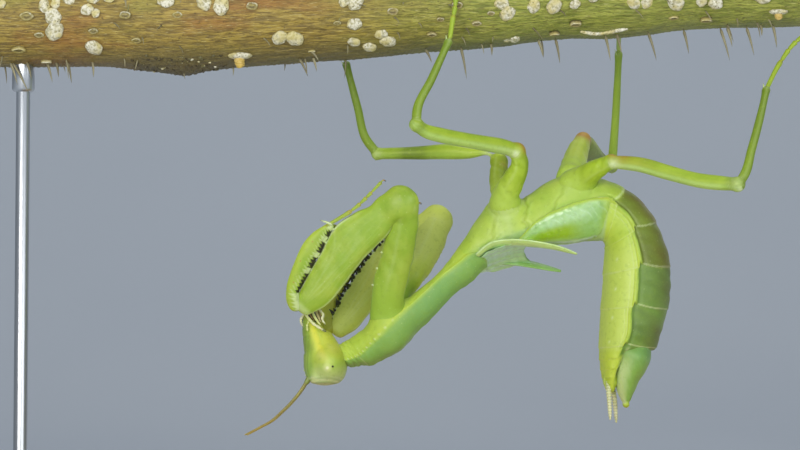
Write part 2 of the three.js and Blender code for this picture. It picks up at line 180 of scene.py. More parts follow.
def roll(bm, steps, sides, place, marks=None):
    """Adds a closed skin: a flat grid is rolled up, one way along the part and one way round it.

    place(part, angle) gives the points, and marks(part, angle) the values that they carry.
    """
    made = bmesh.ops.create_grid(bm, x_segments=steps, y_segments=sides, size=0.5)["verts"]
    flat = np.array([vert.co[:2] for vert in made]) + 0.5
    part = 0.8 * flat[:, 0] + 0.1 * (1 - np.cos(math.pi * flat[:, 0]))
    angle = flat[:, 1] * TURN
    for vert, co in zip(made, place(part, angle).tolist()):
        vert.co = co
    values = {"along": part}
    values.update(marks(part, angle) if marks else {})
    for name, numbers in values.items():
        layer = bm.verts.layers.float[name]
        for vert, number in zip(made, np.broadcast_to(numbers, part.shape).tolist()):
            vert[layer] = number
    bmesh.ops.remove_doubles(bm, verts=made, dist=WELD)


def sweep(bm, route, sizes, guide, steps, sides, relief=None, marks=None, ends=(1, 1), lumps=(), past=(0, 0),
          flat=1):
    """Adds a limb along a route, with rounded ends.

    A size is (part, half breadth towards the guide, half breadth away from it, half thickness).
    relief(part, angle) lifts the skin, which faces the guide at angle 0. A flat below 1 levels the
    limb's broad faces. The skin may run past the route's two ends. Each lump is a rounded joint
    that the skin swells over: (middle, radii, blend).
    """
    line = Route(route)
    caps = [end * min(sizes[i][1:]) for i, end in zip((0, -1), ends)]
    whole = line.length + past[0] + past[1]

    def at_part(part):
        return np.clip((part * whole - past[0]) / line.length, 0, 1)

    def place(part, angle):
        at = at_part(part)
        beyond = part * whole - past[0] - at * line.length
        outer, inner, thick = smooth(sizes, at).T
        rounding = rounded(np.minimum(part * whole / caps[0], (1 - part) * whole / caps[1]))
        reach = np.where(np.cos(angle) > 0, outer, inner)
        out = unit(np.stack([np.cos(angle) / reach, np.sin(angle) / thick], -1))
        lift = relief(at, angle) if relief else np.zeros_like(part)
        face = np.sign(np.sin(angle)) * np.abs(np.sin(angle)) ** flat
        across = (np.cos(angle) * reach + out[:, 0] * lift) * rounding
        beside = (face * thick + out[:, 1] * lift) * rounding
        heading, broad, side = line.axes(at, guide)
        points = line.point(at) + heading * beyond[:, None] + broad * across[:, None] + side * beside[:, None]
        for middle, radii, blend in lumps:
            points = swell(points, middle, radii, blend)
        return points

    roll(bm, steps, sides, place, marks and (lambda part, angle: marks(at_part(part), angle)))


def spine(bm, foot, tip, radius, bow=(0, 0, 0), black_from=0.6, marks=None, sides=6):
    """Adds a thorn from foot to tip, bent by bow in the middle, with a dark point."""
    foot = np.array(foot, float)
    tip = np.array(tip, float)
    middle = (foot + tip) / 2 + np.array(bow, float)
    sizes = [(part, radius * size, radius * size, radius * size)
             for part, size in ((0, 1.15), (0.35, 0.85), (0.7, 0.5), (1, 0.12))]
    guide = (0.3, 0.5, 0.8)

    def paint(part, angle):
        values = {"black": ease(part, black_from, black_from + 0.15)}
        values.update(marks or {})
        return values

    sweep(bm, [foot, middle, tip], sizes, guide, 5, sides, marks=paint)


def stain(bm, spots):
    """Adds soft round patches of a mark: (mark, middle, radius, strength)."""
    for mark, middle, radius, strength in spots:
        layer = bm.verts.layers.float[mark]
        middle = Vector(middle)
        for vert in bm.verts:
            share = strength * math.exp(-((vert.co - middle).length / radius) ** 2)
            vert[layer] = min(1, vert[layer] + share)


def bevel(bm, edges, offset, segments):
    bmesh.ops.bevel(bm, geom=edges, offset=offset, affect="EDGES", segments=segments, profile=0.5,
                    material=-1)


def smooth_object(name, bm, finish):
    mesh = bpy.data.meshes.new(name)
    bm.to_mesh(mesh)
    bm.free()
    mesh.polygons.foreach_set("use_smooth", [True] * len(mesh.polygons))
    mesh.materials.append(finish)
    made = bpy.data.objects.new(name, mesh)
    bpy.context.scene.collection.objects.link(made)
    return made


def piece(name, bm, finish, nodes=()):
    """Makes a skin an object in metres, which stands for the CAD nodes that it names."""
    bmesh.ops.recalc_face_normals(bm, faces=bm.faces[:])
    bmesh.ops.scale(bm, vec=(MM, MM, MM), verts=bm.verts[:])
    made = smooth_object(name, bm, finish)
    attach(made, "root")
    if nodes:
        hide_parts(*nodes)
    return made


# ---- Finishes ----

def tint(code):
    """A colour written as rrggbb, as the linear colour that a shader takes."""
    channels = [int(code[i:i + 2], 16) / 255 for i in (0, 2, 4)]
    return [c / 12.92 if c <= 0.04045 else ((c + 0.055) / 1.055) ** 2.4 for c in channels] + [1]


class Field:
    """A value that varies over a surface. Arithmetic on it adds Math nodes to its finish."""

    def __init__(self, finish, socket):
        self.finish = finish
        self.socket = socket

    def math(self, operation, *values):
        return self.finish.node("ShaderNodeMath", {"operation": operation}, dict(enumerate(values)))

    def __add__(self, other):
        return self.math("ADD", self, other)

    def __sub__(self, other):
        return self.math("SUBTRACT", self, other)

    def __rsub__(self, other):
        return self.math("SUBTRACT", other, self)

    def __mul__(self, other):
        return self.math("MULTIPLY", self, other)

    def __pow__(self, other):
        return self.math("POWER", self, other)

    __radd__ = __add__
    __rmul__ = __mul__

    def eased(self, low, high):
        """0 at low, 1 at high, and a soft S between them."""
        settings = {"interpolation_type": "SMOOTHSTEP"}
        return self.finish.node("ShaderNodeMapRange", settings, {"Value": self, 1: low, 2: high})


class Finish:
    """One material. Its nodes come from `node`, and the surface is set by `surface`."""

    def __init__(self, name):
        self.material = bpy.data.materials.new(name)
        self.material.use_nodes = True
        self.tree = self.material.node_tree
        self.shader = self.tree.nodes["Principled BSDF"]

    def feed(self, socket, value):
        if isinstance(value, Field):
            self.tree.links.new(value.socket, socket)
        else:
            socket.default_value = value

    def node(self, kind, settings, values, output=0):
        made = self.tree.nodes.new(kind)
        for name, setting in settings.items():
            if name == "stops":
                self.set_stops(made.color_ramp, setting)
            else:
                setattr(made, name, setting)
        for name, value in values.items():
            self.feed(made.inputs[name], value)
        return Field(self, made.outputs[output])

    def set_stops(self, ramp, stops):
        while len(ramp.elements) < len(stops):
            ramp.elements.new(0.5)
        for element, (place, colour) in zip(ramp.elements, stops):
            element.position = place
            element.color = tint(colour)

    def mark(self, name):
        return self.node("ShaderNodeAttribute", {"attribute_name": name}, {}, "Fac")

    def place(self, stretch=(1, 1, 1)):
        """Object coordinates in millimetres, squeezed along the stretched directions."""
        spot = self.node("ShaderNodeTexCoord", {}, {}, "Object")
        scale = [1 / (MM * size) for size in stretch]
        return self.node("ShaderNodeMapping", {}, {"Vector": spot, "Scale": scale})

    def height(self, axis):
        """One coordinate of the surface, in millimetres."""
        return self.node("ShaderNodeSeparateXYZ", {}, {0: self.place()}, axis)

    def noise(self, size, detail=3, stretch=(1, 1, 1), bend=0):
        settings = {"noise_dimensions": "3D"}
        inputs = {"Vector": self.place(stretch), "Scale": 1 / size, "Detail": detail, "Distortion": bend}
        return self.node("ShaderNodeTexNoise", settings, inputs)

    def cells(self, size, feature="F1", stretch=(1, 1, 1)):
        settings = {"feature": feature}
        return self.node("ShaderNodeTexVoronoi", settings, {"Vector": self.place(stretch), "Scale": 1 / size})

    def mix(self, share, first, second):
        if isinstance(first, str):
            first = tint(first)
        if isinstance(second, str):
            second = tint(second)
        return self.node("ShaderNodeMix", {"data_type": "RGBA"}, {0: share, 6: first, 7: second}, 2)

    def layered(self, colour, *layers):
        """A colour with others over it, each given as its share and itself."""
        for share, tone in layers:
            colour = self.mix(share, colour, tone)
        return colour

    def surface(self, colour, roughness, bump=None, depth=0.02, **constants):
        self.feed(self.shader.inputs["Base Color"], colour)
        self.feed(self.shader.inputs["Roughness"], roughness)
        for name, value in constants.items():
            self.shader.inputs[name.replace("_", " ")].default_value = value
        if bump is not None:
            values = {"Height": bump, "Distance": depth * MM, "Strength": 1}
            normal = self.node("ShaderNodeBump", {}, values)
            self.feed(self.shader.inputs["Normal"], normal)
        return self.material


SKIN_LIGHT = {
    "Sheen_Weight": 0.05,
    "Sheen_Roughness": 0.35,
    "Subsurface_Weight": 0.25,
    "Subsurface_Radius": (0.9, 1.0, 0.25),
    "Subsurface_Scale": 0.7 * MM,
}


def skin_colour(skin, base, light, tones):
    """Soft mottling with pale granules, and each mark's own tone over it."""
    mottle = skin.noise(2.2, 4).eased(0.35, 0.68)
    fleck = skin.noise(0.45, 5)
    granules = 1 - skin.cells(0.9).eased(0.05, 0.14)
    colour = skin.mix(mottle, base, light)
    for mark, tone in tones.items():
        share = skin.mark(mark)
        if mark != "black":
            share = share * (0.7 + 0.6 * fleck)
        colour = skin.mix(share, colour, tone)
    colour = skin.layered(
        colour,
        (fleck.eased(0.55, 0.75) * 0.22, light),
        ((1 - fleck.eased(0.3, 0.45)) * 0.14, "5f7a1c"),
        (granules * 0.15, "dfe8a8"),
    )
    return colour, mottle, fleck


def cuticle(name, base, light, tones, roughness=0.5, grain=0.16, depth=0.012, coat=0.06):
    """Living insect skin, with a pebbled grain."""
    skin = Finish(name)
    colour, mottle, fleck = skin_colour(skin, base, light, tones)
    rough = roughness + 0.16 * fleck - 0.1 * mottle
    bump = skin.cells(grain) * 0.6 + fleck * 1.5 + mottle * 2.5
    return skin.surface(colour, rough, bump, depth, Coat_Weight=coat, Coat_Roughness=0.3, **SKIN_LIGHT)


GREEN_TONES = {
    "leaf": "567f36",
    "blue": "74a352",
    "deep": "64761a",
    "edge": "b9cc42",
    "yellow": "d6d23c",
    "pale": "ccdba0",
    "brown": "a8802c",
    "black": "1c160c",
}
BODY_GREEN = "93b538"
BODY_LIGHT = "a8c24a"
MAT_BODY = cuticle("body_skin", BODY_GREEN, BODY_LIGHT, GREEN_TONES)
FORELEG_TONES = {**GREEN_TONES, "deep": "748c12", "root": BODY_GREEN}
LEG_TONES = {**GREEN_TONES, "blue": "a2c45c", "deep": "6c8416", "root": "a9c348"}
# The pads' root tone is painted light: it lightens the notum plate, which lies in shade under the pads.
PAD_TONES = {**GREEN_TONES, "deep": "93b61c", "pale": "c2dfb2", "root": "c4f2c4"}
MAT_FORELEG = cuticle("foreleg_skin", "8bab2b", "9cb43c", FORELEG_TONES)
MAT_LEG = cuticle("leg_skin", "91ad1e", "a3bd2a", LEG_TONES)
MAT_PAD = cuticle("wing_pad_skin", "8dba60", "a0c97c", PAD_TONES, 0.16, 0.3, 0.02, 0.6)
MAT_PALE = cuticle("pale_skin", "c6c996", "dadbb2", GREEN_TONES)
MAT_ANTENNA = cuticle("antenna_skin", "7f7a42", "98924f", GREEN_TONES, 0.5)


# ---- Trunk ----

# The trunk's stations lie in the middle plane, Y = 0. Each is (station, back x, back z,
# belly x, belly z, where the side margin is from back to belly, half width).
TRUNK_ROLL = math.radians(8)
NECK_POINT = (-9.1, 16.2)
PROTHORAX_HEADING = math.radians(39.3)
# Each is (station, distance from the neck, height of the back, depth of the belly, margin, half width).
PROTHORAX = [
    (-2, -1.9, 0.7, 1.2, 0.2, 1.2),
    (-1, -0.9, 1.2, 1.65, 0.2, 1.6),
    (0, 0.4, 1.9, 1.35, 0.22, 1.75),
    (1, 1.6, 2.75, 1.15, 0.36, 2.1),
    (2, 4.0, 3.0, 0.95, 0.48, 2.35),
    (3, 7.0, 3.0, 0.7, 0.6, 2.5),
    (4, 10.0, 2.85, 0.5, 0.7, 1.9),
    (5, 13.7, 2.35, 0.5, 0.75, 1.65),
    (6, 16.4, 2.5, 1.05, 0.62, 1.8),
    (7, 18.7, 2.3, 1.7, 0.48, 2.1),
]
PTEROTHORAX_AND_ABDOMEN = [
    (8, 9.9, 27.4, 7.2, 33.3, 0.32, 2.9),
    (9, 13.0, 28.5, 11.0, 34.1, 0.35, 3.2),
    (10, 16.5, 29.0, 14.4, 36.1, 0.5, 3.3),
    (11, 19.0, 29.1, 18.4, 35.9, 0.6, 3.2),
    (12, 20.2, 29.1, 20.6, 36.1, 0.64, 3.1),
    (13, 20.5, 28.7, 24.3, 34.1, 0.55, 3.5),
    (14, 20.5, 28.1, 26.6, 30.8, 0.46, 3.9),
    (15, 20.35, 26.0, 27.8, 27.2, 0.44, 4.1),
    (16, 20.2, 23.4, 28.0, 23.9, 0.4, 4.1),
    (17, 20.0, 21.0, 27.6, 21.0, 0.37, 3.9),
    (18, 19.85, 18.4, 26.8, 18.4, 0.38, 3.6),
    (19, 19.85, 16.2, 25.9, 16.2, 0.28, 3.0),
    (20, 20.05, 14.1, 23.3, 14.0, 0.32, 2.2),
    (21, 20.4, 12.6, 22.1, 12.6, 0.4, 1.4),
    (22, 20.9, 11.6, 21.7, 11.8, 0.5, 0.6),
]


def trunk_stations():
    along = np.array([math.cos(PROTHORAX_HEADING), math.sin(PROTHORAX_HEADING)])
    backwards = np.array([along[1], -along[0]])
    stations = []
    for at, distance, back, belly, margin, half in PROTHORAX:
        axis = np.array(NECK_POINT) + along * distance
        stations.append((at, *(axis + backwards * back), *(axis - backwards * belly), margin, half))
    return np.array(stations + PTEROTHORAX_AND_ABDOMEN)


TRUNK = trunk_stations()


def trunk_place(at, angle, lift, size):
    """Points on the trunk. At angle 0 they are on the left margin, and at a quarter turn on the belly."""
    back_x, back_z, belly_x, belly_z, margin, half = smooth(TRUNK, at).T
    zero = np.zeros_like(back_x)
    back = np.stack([back_x, zero, back_z], -1)
    belly = np.stack([belly_x, zero, belly_z], -1)
    across = unit(belly - back)
    left = np.array([0, 1, 0])
    depthwise = across * math.cos(TRUNK_ROLL) + left * math.sin(TRUNK_ROLL)
    sidewise = left * math.cos(TRUNK_ROLL) - across * math.sin(TRUNK_ROLL)
    middle = back + (belly - back) * margin[:, None]
    depth = np.linalg.norm(belly - back, axis=1)
    reach = np.where(np.sin(angle) > 0, depth * (1 - margin), depth * margin)
    out = unit(np.stack([np.sin(angle) / reach, np.cos(angle) / half], -1))
    deep = (np.sin(angle) * reach + out[:, 0] * lift) * size
    wide = (np.cos(angle) * half + out[:, 1] * lift) * size
    return middle + depthwise * deep[:, None] + sidewise * wide[:, None]


NECK_SHIELD_FRONT = (-0.95, -0.8)
PRONOTUM_REAR = 7.0
SUPRACOXAL_GROOVE = 2.65
THORAX_CREASE = 8.75
# How closely small teeth follow one another on the neck shield's front edges.
SHIELD_TEETH = 21
# How many stations one round of a wobble covers.
WOBBLE_SPAN = 24


def on_pronotum(at, level):
    """1 on the neck shield, whose rear corners are rounded."""
    rear = PRONOTUM_REAR + 0.06 - 0.5 * ease(level, -0.25, 0.2)
    return ease(at, *NECK_SHIELD_FRONT) * (1 - ease(at, rear - 0.03, rear + 0.03))


def side_creases(at, level):
    """The seams between the plates of the flanks, each (place, lean, from level, to level, depth)."""
    seams = [(7.5, 0.9, -0.1, 0.85, 0.5), (THORAX_CREASE, 0.3, -0.35, 0.97, 1), (9.7, 1.1, -0.1, 0.9, 0.6),
             (10.75, 0.4, 0.3, 0.8, 0.4)]
    wander = 0.05 * np.sin(level * 9 + at) + 0.03 * np.sin(level * 23)
    return sum(depth * hump(at, place + lean * level + wander, 0.06) * between(level, low, high, 0.15)
               for place, lean, low, high, depth in seams)


def thorax_relief(at, level, around):
    margin = hump(level, 0, 0.11)
    shield = on_pronotum(at, level)
    dorsal = ease(-level, -0.1, 0.25)
    front = 1 - ease(at, *NECK_SHIELD_FRONT)
    lift = -0.12 * front + 0.04 * np.sin(at * 15 + 2 * level) * (1 - ease(at, -0.2, 0.8))
    lift += shield * margin * 0.12
    lift += shield * margin * 0.09 * np.maximum(np.sin(at * SHIELD_TEETH), 0) * (1 - ease(at, 2.4, 3.6))
    lift += shield * dorsal * 0.12
    lift += shield * 0.07 * hump(level, -1, 0.012)
    lift -= 0.1 * hump(at, SUPRACOXAL_GROOVE, 0.1) * dorsal * shield
    # The notum between the wing pads is a saddle, and the pleura behind it are creased plates.
    rear = ease(at, PRONOTUM_REAR, PRONOTUM_REAR + 0.3)
    lift -= 0.75 * rear * hump(level, -1, 0.45) * (1 - ease(at, 9.4, 10.2))
    lift += 0.1 * rear * between(level, -0.2, 0.75, 0.15) * hump(at, 8.0, 0.55)
    lift -= 0.15 * side_creases(at, level)
    lift += 0.08 * side_creases(at - 0.16, level)
    lift += 0.16 * hump(at, 7.95, 0.06) * hump(level, 0.9, 0.05)
    lift += 0.025 * wobble(4, (40, 3), at / WOBBLE_SPAN, around)
    return lift


def thorax_marks(at, level, around):
    shield = on_pronotum(at, level)
    dorsal = ease(-level, -0.04, 0.24)
    rear = ease(at, PRONOTUM_REAR, PRONOTUM_REAR + 0.2)
    teeth = hump(level, 0.03, 0.06) * np.maximum(np.sin(at * SHIELD_TEETH), 0) ** 3 * (1 - ease(at, 2.2, 3.4))
    seams = side_creases(at, level)
    streak = between(at - 0.4 * level, 7.75, 8.35, 0.2) * between(level, -0.15, 0.85, 0.25)
    dots = sum(hump(at, 9.7 + shift, 0.022) * hump(level, 0.9, 0.025) for shift in (-0.07, 0.05))
    flank = ease(level, -0.05, 0.15)
    front = 1 - ease(at, *NECK_SHIELD_FRONT)
    return {
        "blue": shield * dorsal * (0.75 + 0.2 * hump(at, 4.5, 1.2)) + rear * dorsal * 0.8,
        "edge": 0.45 * shield * hump(level, 0.04, 0.12) * (0.3 + 0.7 * ease(at, 1, 2.5))
        + (0.33 + 0.15 * shield) * flank * (1 - front),
        "deep": 0.35 * seams + 0.25 * front,
        # Behind the neck shield, the pale on the back is painted light on skin that lies in the wing pads'
        # shade.
        "pale": 0.8 * shield * teeth + 0.4 * hump(at + 0.2 * level, 0.35, 0.07) * dorsal
        + 0.22 * streak * (1 + 0.7 * wobble(6, (60, 3), at / WOBBLE_SPAN, around))
        + 0.12 * side_creases(at - 0.14, level) + 0.06 * rear * flank + 0.4 * rear * dorsal,
        "brown": 0.85 * dots,
    }


RING_EDGES = np.array([11.0, 12.6, 13.9, 15.35, 16.95, 18.75, 19.35, 19.9, 20.45, 20.95, 21.4, 22.4])
LAST_BELLY_PLATE = 4
TAIL_FROM = 18.75


def tail_rings(at, level):
    """The ring that each point is in, and how far along it is, from 0 at its front to 1 at its rim."""
    bow = np.where(level > 0, 0.28 * (1 - np.clip(level, 0, 1)) ** 3, 0.1 * (1 + level) ** 2)
    shifted = at + bow
    ring = np.clip(np.searchsorted(RING_EDGES, shifted, side="right") - 1, 0, len(RING_EDGES) - 2)
    share = (shifted - RING_EDGES[ring]) / (RING_EDGES[ring + 1] - RING_EDGES[ring])
    # The border between back and belly steps outwards along each ring.
    border = level - 0.11 * (share - 0.5) * (at < TAIL_FROM)
    return ring, share, border


def abdomen_relief(at, level, around):
    ring, share, border = tail_rings(at, level)
    drop = 1 - ease(share, 0.955, 1)
    belly = ease(border, 0.05, 0.16) * (ring <= LAST_BELLY_PLATE)
    back = ease(-border, -0.02, 0.1)
    body = 1 - ease(at, TAIL_FROM, 19.3)
    lift = (0.12 * belly + 0.08 * back) * share ** 2 * drop
    lift += (0.13 + 0.22 * share ** 3) * hump(border, -0.04, 0.07) * drop * body
    lift -= 0.05 * (hump(border, -0.14, 0.018) + hump(border, -0.26, 0.018)) * body
    lift -= 0.1 * hump(border, 0.09, 0.05) * body
    lift += 0.05 * hump(level, -1, 0.01)
    lift += 0.035 * belly * wobble(7, (40, 3), at / WOBBLE_SPAN, around)
    lift += 0.012 * back * wobble(8, (60, 4), at / WOBBLE_SPAN, around)
    lift -= 1.5 * ease(level, 0.02, 0.4) * ease(at, 18.78, 18.98) * (1 - 0.8 * ease(at, 19.5, 21))
    return lift


def abdomen_marks(at, level, around):
    ring, share, border = tail_rings(at, level)
    body = 1 - ease(at, TAIL_FROM - 0.1, TAIL_FROM + 0.3)
    belly = ease(border, 0.0, 0.025) * (at + 0.25 * (1 - level) ** 3 > 12.6) * (1 - ease(at, 19.0, 19.5))
    rim = ease(share, 0.95, 0.962) * (1 - ease(share, 0.985, 0.995))
    greener = ease(share + ring, 2.98, 3.02)
    cloud = 0.5 * wobble(9, (17, 2), at / WOBBLE_SPAN, around)
    cloud += 0.3 * wobble(10, (45, 7), at / WOBBLE_SPAN, around)
    margin = between(border, -0.13, -0.01, 0.02) * body
    lines = (hump(border, -0.14, 0.016) + hump(border, -0.26, 0.016)) * body * (border < 0)
    spots = sum(hump(at, place, 0.07) * hump(level, -0.72, 0.03) for place in (14.75, 16.0, 17.3, 18.4))
    dorsal = ease(-border, -0.02, 0.1)
    # A painted glint runs along the back's edge beside the tail plate.
    glint_beside_plate = hump(level, 0.16, 0.05) * between(at, 18.7, 20.3, 0.15)
    rear = ease(at, 13.6, 15)
    yellower = (0.6 + 0.25 * rear + 0.08 * cloud) * np.maximum(dorsal, ease(at, 19.0, 19.3))
    return {
        "deep": belly * (1 - greener) * (0.8 + 0.15 * cloud) + 0.15 * hump(share, 1.0, 0.02) * dorsal
        + 0.22 * margin,
        "leaf": belly * greener * (0.8 + 0.15 * cloud),
        "blue": 0.2 * ease(at, 18.9, 19.6) * ease(level, -0.2, 0.2),
        # Towards the belly's middle the plates darken: their own olive-brown, with painted shade over it.
        "black": belly * (0.07 + 0.12 * (ring == 2) + 0.22 * ease(level, 0.3, 0.95)) * (1 + 0.5 * cloud),
        "brown": belly * (0.04 + 0.22 * ease(level, 0.3, 0.9) * (1 - 0.6 * greener)) * (1 + cloud),
        "edge": np.maximum(0.3 * margin, yellower)
        + 0.33 * ease(level, 0, 0.2) * (1 - ease(at, 12.4, 12.7)),
        "pale": 0.75 * spots + 0.15 * dorsal * body * rear * (1 - margin)
        + 0.65 * rim * ease(border, 0.02, 0.06) * (ring <= LAST_BELLY_PLATE)
        + 0.22 * rim * dorsal + 0.25 * lines + 0.55 * glint_beside_plate,
    }


TRUNK_FROM = -2.0
TRUNK_TO = 21.9
# Where the trunk swells to meet the coxae: (middle, radii) on the left side.
COXA_ROOTS = {"fore": ((-4.2, 1.2, 19.5), (2.2, 1.7, 2.8)), "mid": ((9.0, 1.3, 33.0), (1.8, 1.8, 1.5)),
              "hind": ((17.3, 1.3, 35.2), (2.5, 2.0, 1.8))}
ROOT_BLEND = 0.8


def coxa_root(kind, side, size=1.0):
    middle, radii = COXA_ROOTS[kind]
    return np.array(middle) * np.array([1, side, 1]), np.array(radii) * size, ROOT_BLEND


def make_trunk():
    bm = new_skin()

    def sited(part, angle):
        """Station, level, angle and share of the abdomen; the rows crowd together on the side margins."""
        at = TRUNK_FROM + (TRUNK_TO - TRUNK_FROM) * part
        around = angle - 0.28 * np.sin(2 * angle)
        return at, np.sin(around), around, ease(at, 11.9, 12.3)

    def place(part, angle):
        at, level, around, tail = sited(part, angle)
        lift = thorax_relief(at, level, around) * (1 - tail)
        lift += abdomen_relief(at, level, around) * tail
        points = trunk_place(at, around, lift, rounded(np.minimum(part, 1 - part) * 90))
        for kind in COXA_ROOTS:
            for side in (-1, 1):
                points = swell(points, *coxa_root(kind, side))
        return points

    def marks(part, angle):
        at, level, around, tail = sited(part, angle)
        thorax = thorax_marks(at, level, around)
        abdomen = abdomen_marks(at, level, around)
        return {name: thorax.get(name, 0) * (1 - tail) + abdomen.get(name, 0) * tail for name in MARKS[:-1]}

    roll(bm, 700, 132, place, marks)
    nodes = ("neck", "prothorax", "mesothorax", "metathorax", "abdomen_base", "abdomen_front",
             "abdomen_middle", "abdomen_rear", "abdomen_tip")
    piece("trunk_skin", bm, MAT_BODY, nodes)


def make_notum():
    """The hollow plate between the front wing pads, with a rounded notch in its rear edge."""
    bm = new_skin()

    def place(part, angle):
        across = np.sin(angle) * 3.4 * ease(part, -0.5, 0.4)
        rear = 11.2 + 0.9 * np.clip(np.abs(across) / 3.2, 0, 1) ** 2
        x = 5.9 + (rear - 5.9) * part
        crease = 0.05 * np.sin(np.abs(across) * 5) + 0.05 * wobble(14, (5, 3), part, angle)
        z = np.interp(x, [5.9, 8, 10, 13], [26.5, 27.35, 27.95, 28.4])
        z = z + crease - 0.34 * across - 0.03 * across ** 2
        return np.stack([x, across, z + 0.14 * np.cos(angle)], -1)

    def marks(part, angle):
        # The root mark is painted light over the whole plate, which lies in shade under the pads.
        return {"root": 0.55, "pale": 0.3 * hump(np.sin(angle), -0.35, 0.2)}

    roll(bm, 70, 90, place, marks)
    piece("notum_plate", bm, MAT_PAD)


def make_tail_plates():
    """The plate under the tail's tip, with its beak, and the small plate over the vent."""
    bm = new_skin()

    def plate_marks(part, angle):
        front = ease(-np.cos(angle), -0.2, 0.7)
        # The pale mark is a painted sheen on the plate's side towards the dorsum, and a painted glint along
        # its edge there.
        return {
            "leaf": 0.95 * (1 - ease(part, 0.25, 0.6)) * (1 - 0.4 * front),
            "blue": 0.7 - 0.4 * ease(part, 0.9, 0.96),
            "pale": 0.75 * ease(part, 0.25, 0.6) * front * (1 - ease(part, 0.93, 0.97))
            + 0.6 * hump(np.cos(angle), -0.97, 0.05) * between(part, 0.1, 0.5, 0.1)
            + 0.04 * wobble(13, (9, 9), part, angle),
            "brown": 0.12 * ease(part, 0.95, 0.98),
            "edge": 0.7 * ease(part, 0.9, 0.96) + 0.2 * (1 - ease(part, 0, 0.06)),
        }

    def plate_relief(part, angle):
        return 0.03 * wobble(12, (3, 2), part, angle) - 0.1 * hump(part, 0.93, 0.02)

    route = [(24.7, 0, 19.2), (24.5, 0, 17.8), (24.0, 0, 16.4), (23.5, 0, 14.9), (23.0, 0, 13.4),
             (22.85, 0, 12.0), (22.85, 0, 10.9), (22.85, 0, 10.0)]
    sizes = [(0, 0.7, 0.9, 0.8), (0.13, 1.0, 1.5, 1.7), (0.24, 1.6, 2.1, 2.5), (0.36, 1.9, 2.4, 3.05),
             (0.46, 1.76, 2.05, 2.95), (0.62, 1.42, 1.5, 2.35), (0.78, 1.05, 1.1, 1.6), (0.9, 0.55, 0.6, 0.9),
             (1, 0.25, 0.28, 0.4)]
    sweep(bm, route, sizes, (1, 0.04, 0), 100, 64, plate_relief, plate_marks, ends=(0.35, 1))
    sizes = [(0, 0.3, 0.3, 1.1), (0.5, 0.22, 0.22, 0.8), (1, 0.1, 0.1, 0.2)]
    sweep(bm, [(20.5, 0, 13.9), (20.45, 0, 12.9), (20.75, 0, 11.9)], sizes, (1, -0.12, 0), 24, 24,
          marks=lambda part, angle: {"edge": 0.4, "pale": 0.4 * part})
    piece("tail_plates", bm, MAT_BODY)


CERCI = {
    "right": [(20.7, -0.9, 13.2), (20.85, -1, 10.9), (20.95, -1.15, 8.6)],
    "left": [(21.3, 0.9, 12.9), (21.6, 1.0, 10.9), (21.8, 1.15, 8.3)],
}
BEADS = 14


def make_cerci():
    """The two jointed feelers beside the tail plate."""
    sizes = flat_size([(0, 0.29), (0.3, 0.31), (0.7, 0.25), (0.9, 0.18), (1, 0.08)])

    def beading(part, angle):
        return -0.09 * at_joints(part, BEADS, 0.2) * (1 - 0.5 * part)

    def marks(part, angle):
        return {"blue": 0.3 * (1 - ease(part, 0, 0.4)), "deep": 0.3 * at_joints(part, BEADS, 0.14)}

    for side, route in CERCI.items():
        bm = new_skin()
        sweep(bm, route, sizes, (1, 0, 0), BEADS * 9, 16, beading, marks)
        piece(f"cercus_{side}_beads", bm, MAT_PALE, (f"cercus_{side}",))


# ---- Head ----

# Each is (height, face x, nape x, half width); the crown hangs lowest, the mouth is on top.
HEAD = [
    (12.55, -12.4, -11.0, 0.9),
    (12.8, -13.1, -10.2, 1.7),
    (13.2, -13.6, -9.65, 2.2),
    (14.1, -13.95, -9.2, 2.5),
    (15.4, -14.05, -9.2, 2.5),
    (16.6, -14.05, -9.65, 2.3),
    (17.6, -14.15, -10.25, 2.0),
    (18.8, -14.25, -11.05, 1.65),
    (19.6, -14.25, -11.6, 1.45),
    (20.3, -14.15, -11.9, 1.2),
    (20.8, -14.0, -12.3, 0.8),
]
EYE_MIDDLE = np.array([-11.05, 1.3, 15.1])
EYE_RADII = np.array([1.95, 2.25, 2.15])
EYE_BLEND = 1.2
EYE_RISE = 0.03
MOUTH_SLOPE = 0.62
# How square the head is seen from its crown: 1 is an ellipse, and less is squarer.
HEAD_ROUND = 0.85


def from_eye(x, z):
    """How far a spot is from the middle of the eye's outline, which is at 1."""
    return np.hypot((x - EYE_MIDDLE[0]) / EYE_RADII[0], (z - EYE_MIDDLE[2]) / EYE_RADII[2])


def dome_reach(x, z):
    """How far out to the side the eye reaches; beyond its outline it goes on falling as steeply."""
    away = from_eye(x, z)
    fall = np.where(away < 1, away ** 2.4, 2.4 * away - 1.4)
    return EYE_MIDDLE[1] + EYE_RADII[1] * (1 - fall)


def merge(flank, reach):
    """The head's flank, swollen to meet the eye without an edge."""
    gap = np.clip(0.5 + 0.5 * (reach - flank) / EYE_BLEND, 0, 1)
    swollen = flank * (1 - gap) + reach * gap + EYE_BLEND * gap * (1 - gap)
    return swollen * np.tanh(1.2 * flank)


def flank_at(x, z):
    """How far out to the side the head's skin lies, for the part of it round the eye."""
    face, nape, half = smooth(HEAD, z).T
    front = np.clip(np.abs(2 * x - face - nape) / (nape - face), 0, 1)
    return merge(half * (1 - front ** (2 / HEAD_ROUND)) ** (HEAD_ROUND / 2), dome_reach(x, z))


def head_surface(part, angle):
    crown, mouth = HEAD[0][0], HEAD[-1][0]
    height = crown + (mouth - crown) * part
    face, nape, half = smooth(HEAD, height).T
    rounding = rounded(np.minimum(part, 1 - part) * 30)
    front = np.sign(np.cos(angle)) * np.abs(np.cos(angle)) ** HEAD_ROUND
    beside = np.sign(np.sin(angle)) * np.abs(np.sin(angle)) ** HEAD_ROUND
    x = (face + nape) / 2 + front * (nape - face) / 2 * rounding
    y = beside * half * rounding
    z = height - MOUTH_SLOPE * ease(height, 18.4, 20.8) * (x + 13.9)
    swollen = merge(np.abs(y), dome_reach(x, z))
    y = np.where(np.abs(np.sin(angle)) > 0.05, np.sign(y) * swollen, y)
    return np.stack([x, y, z], -1)


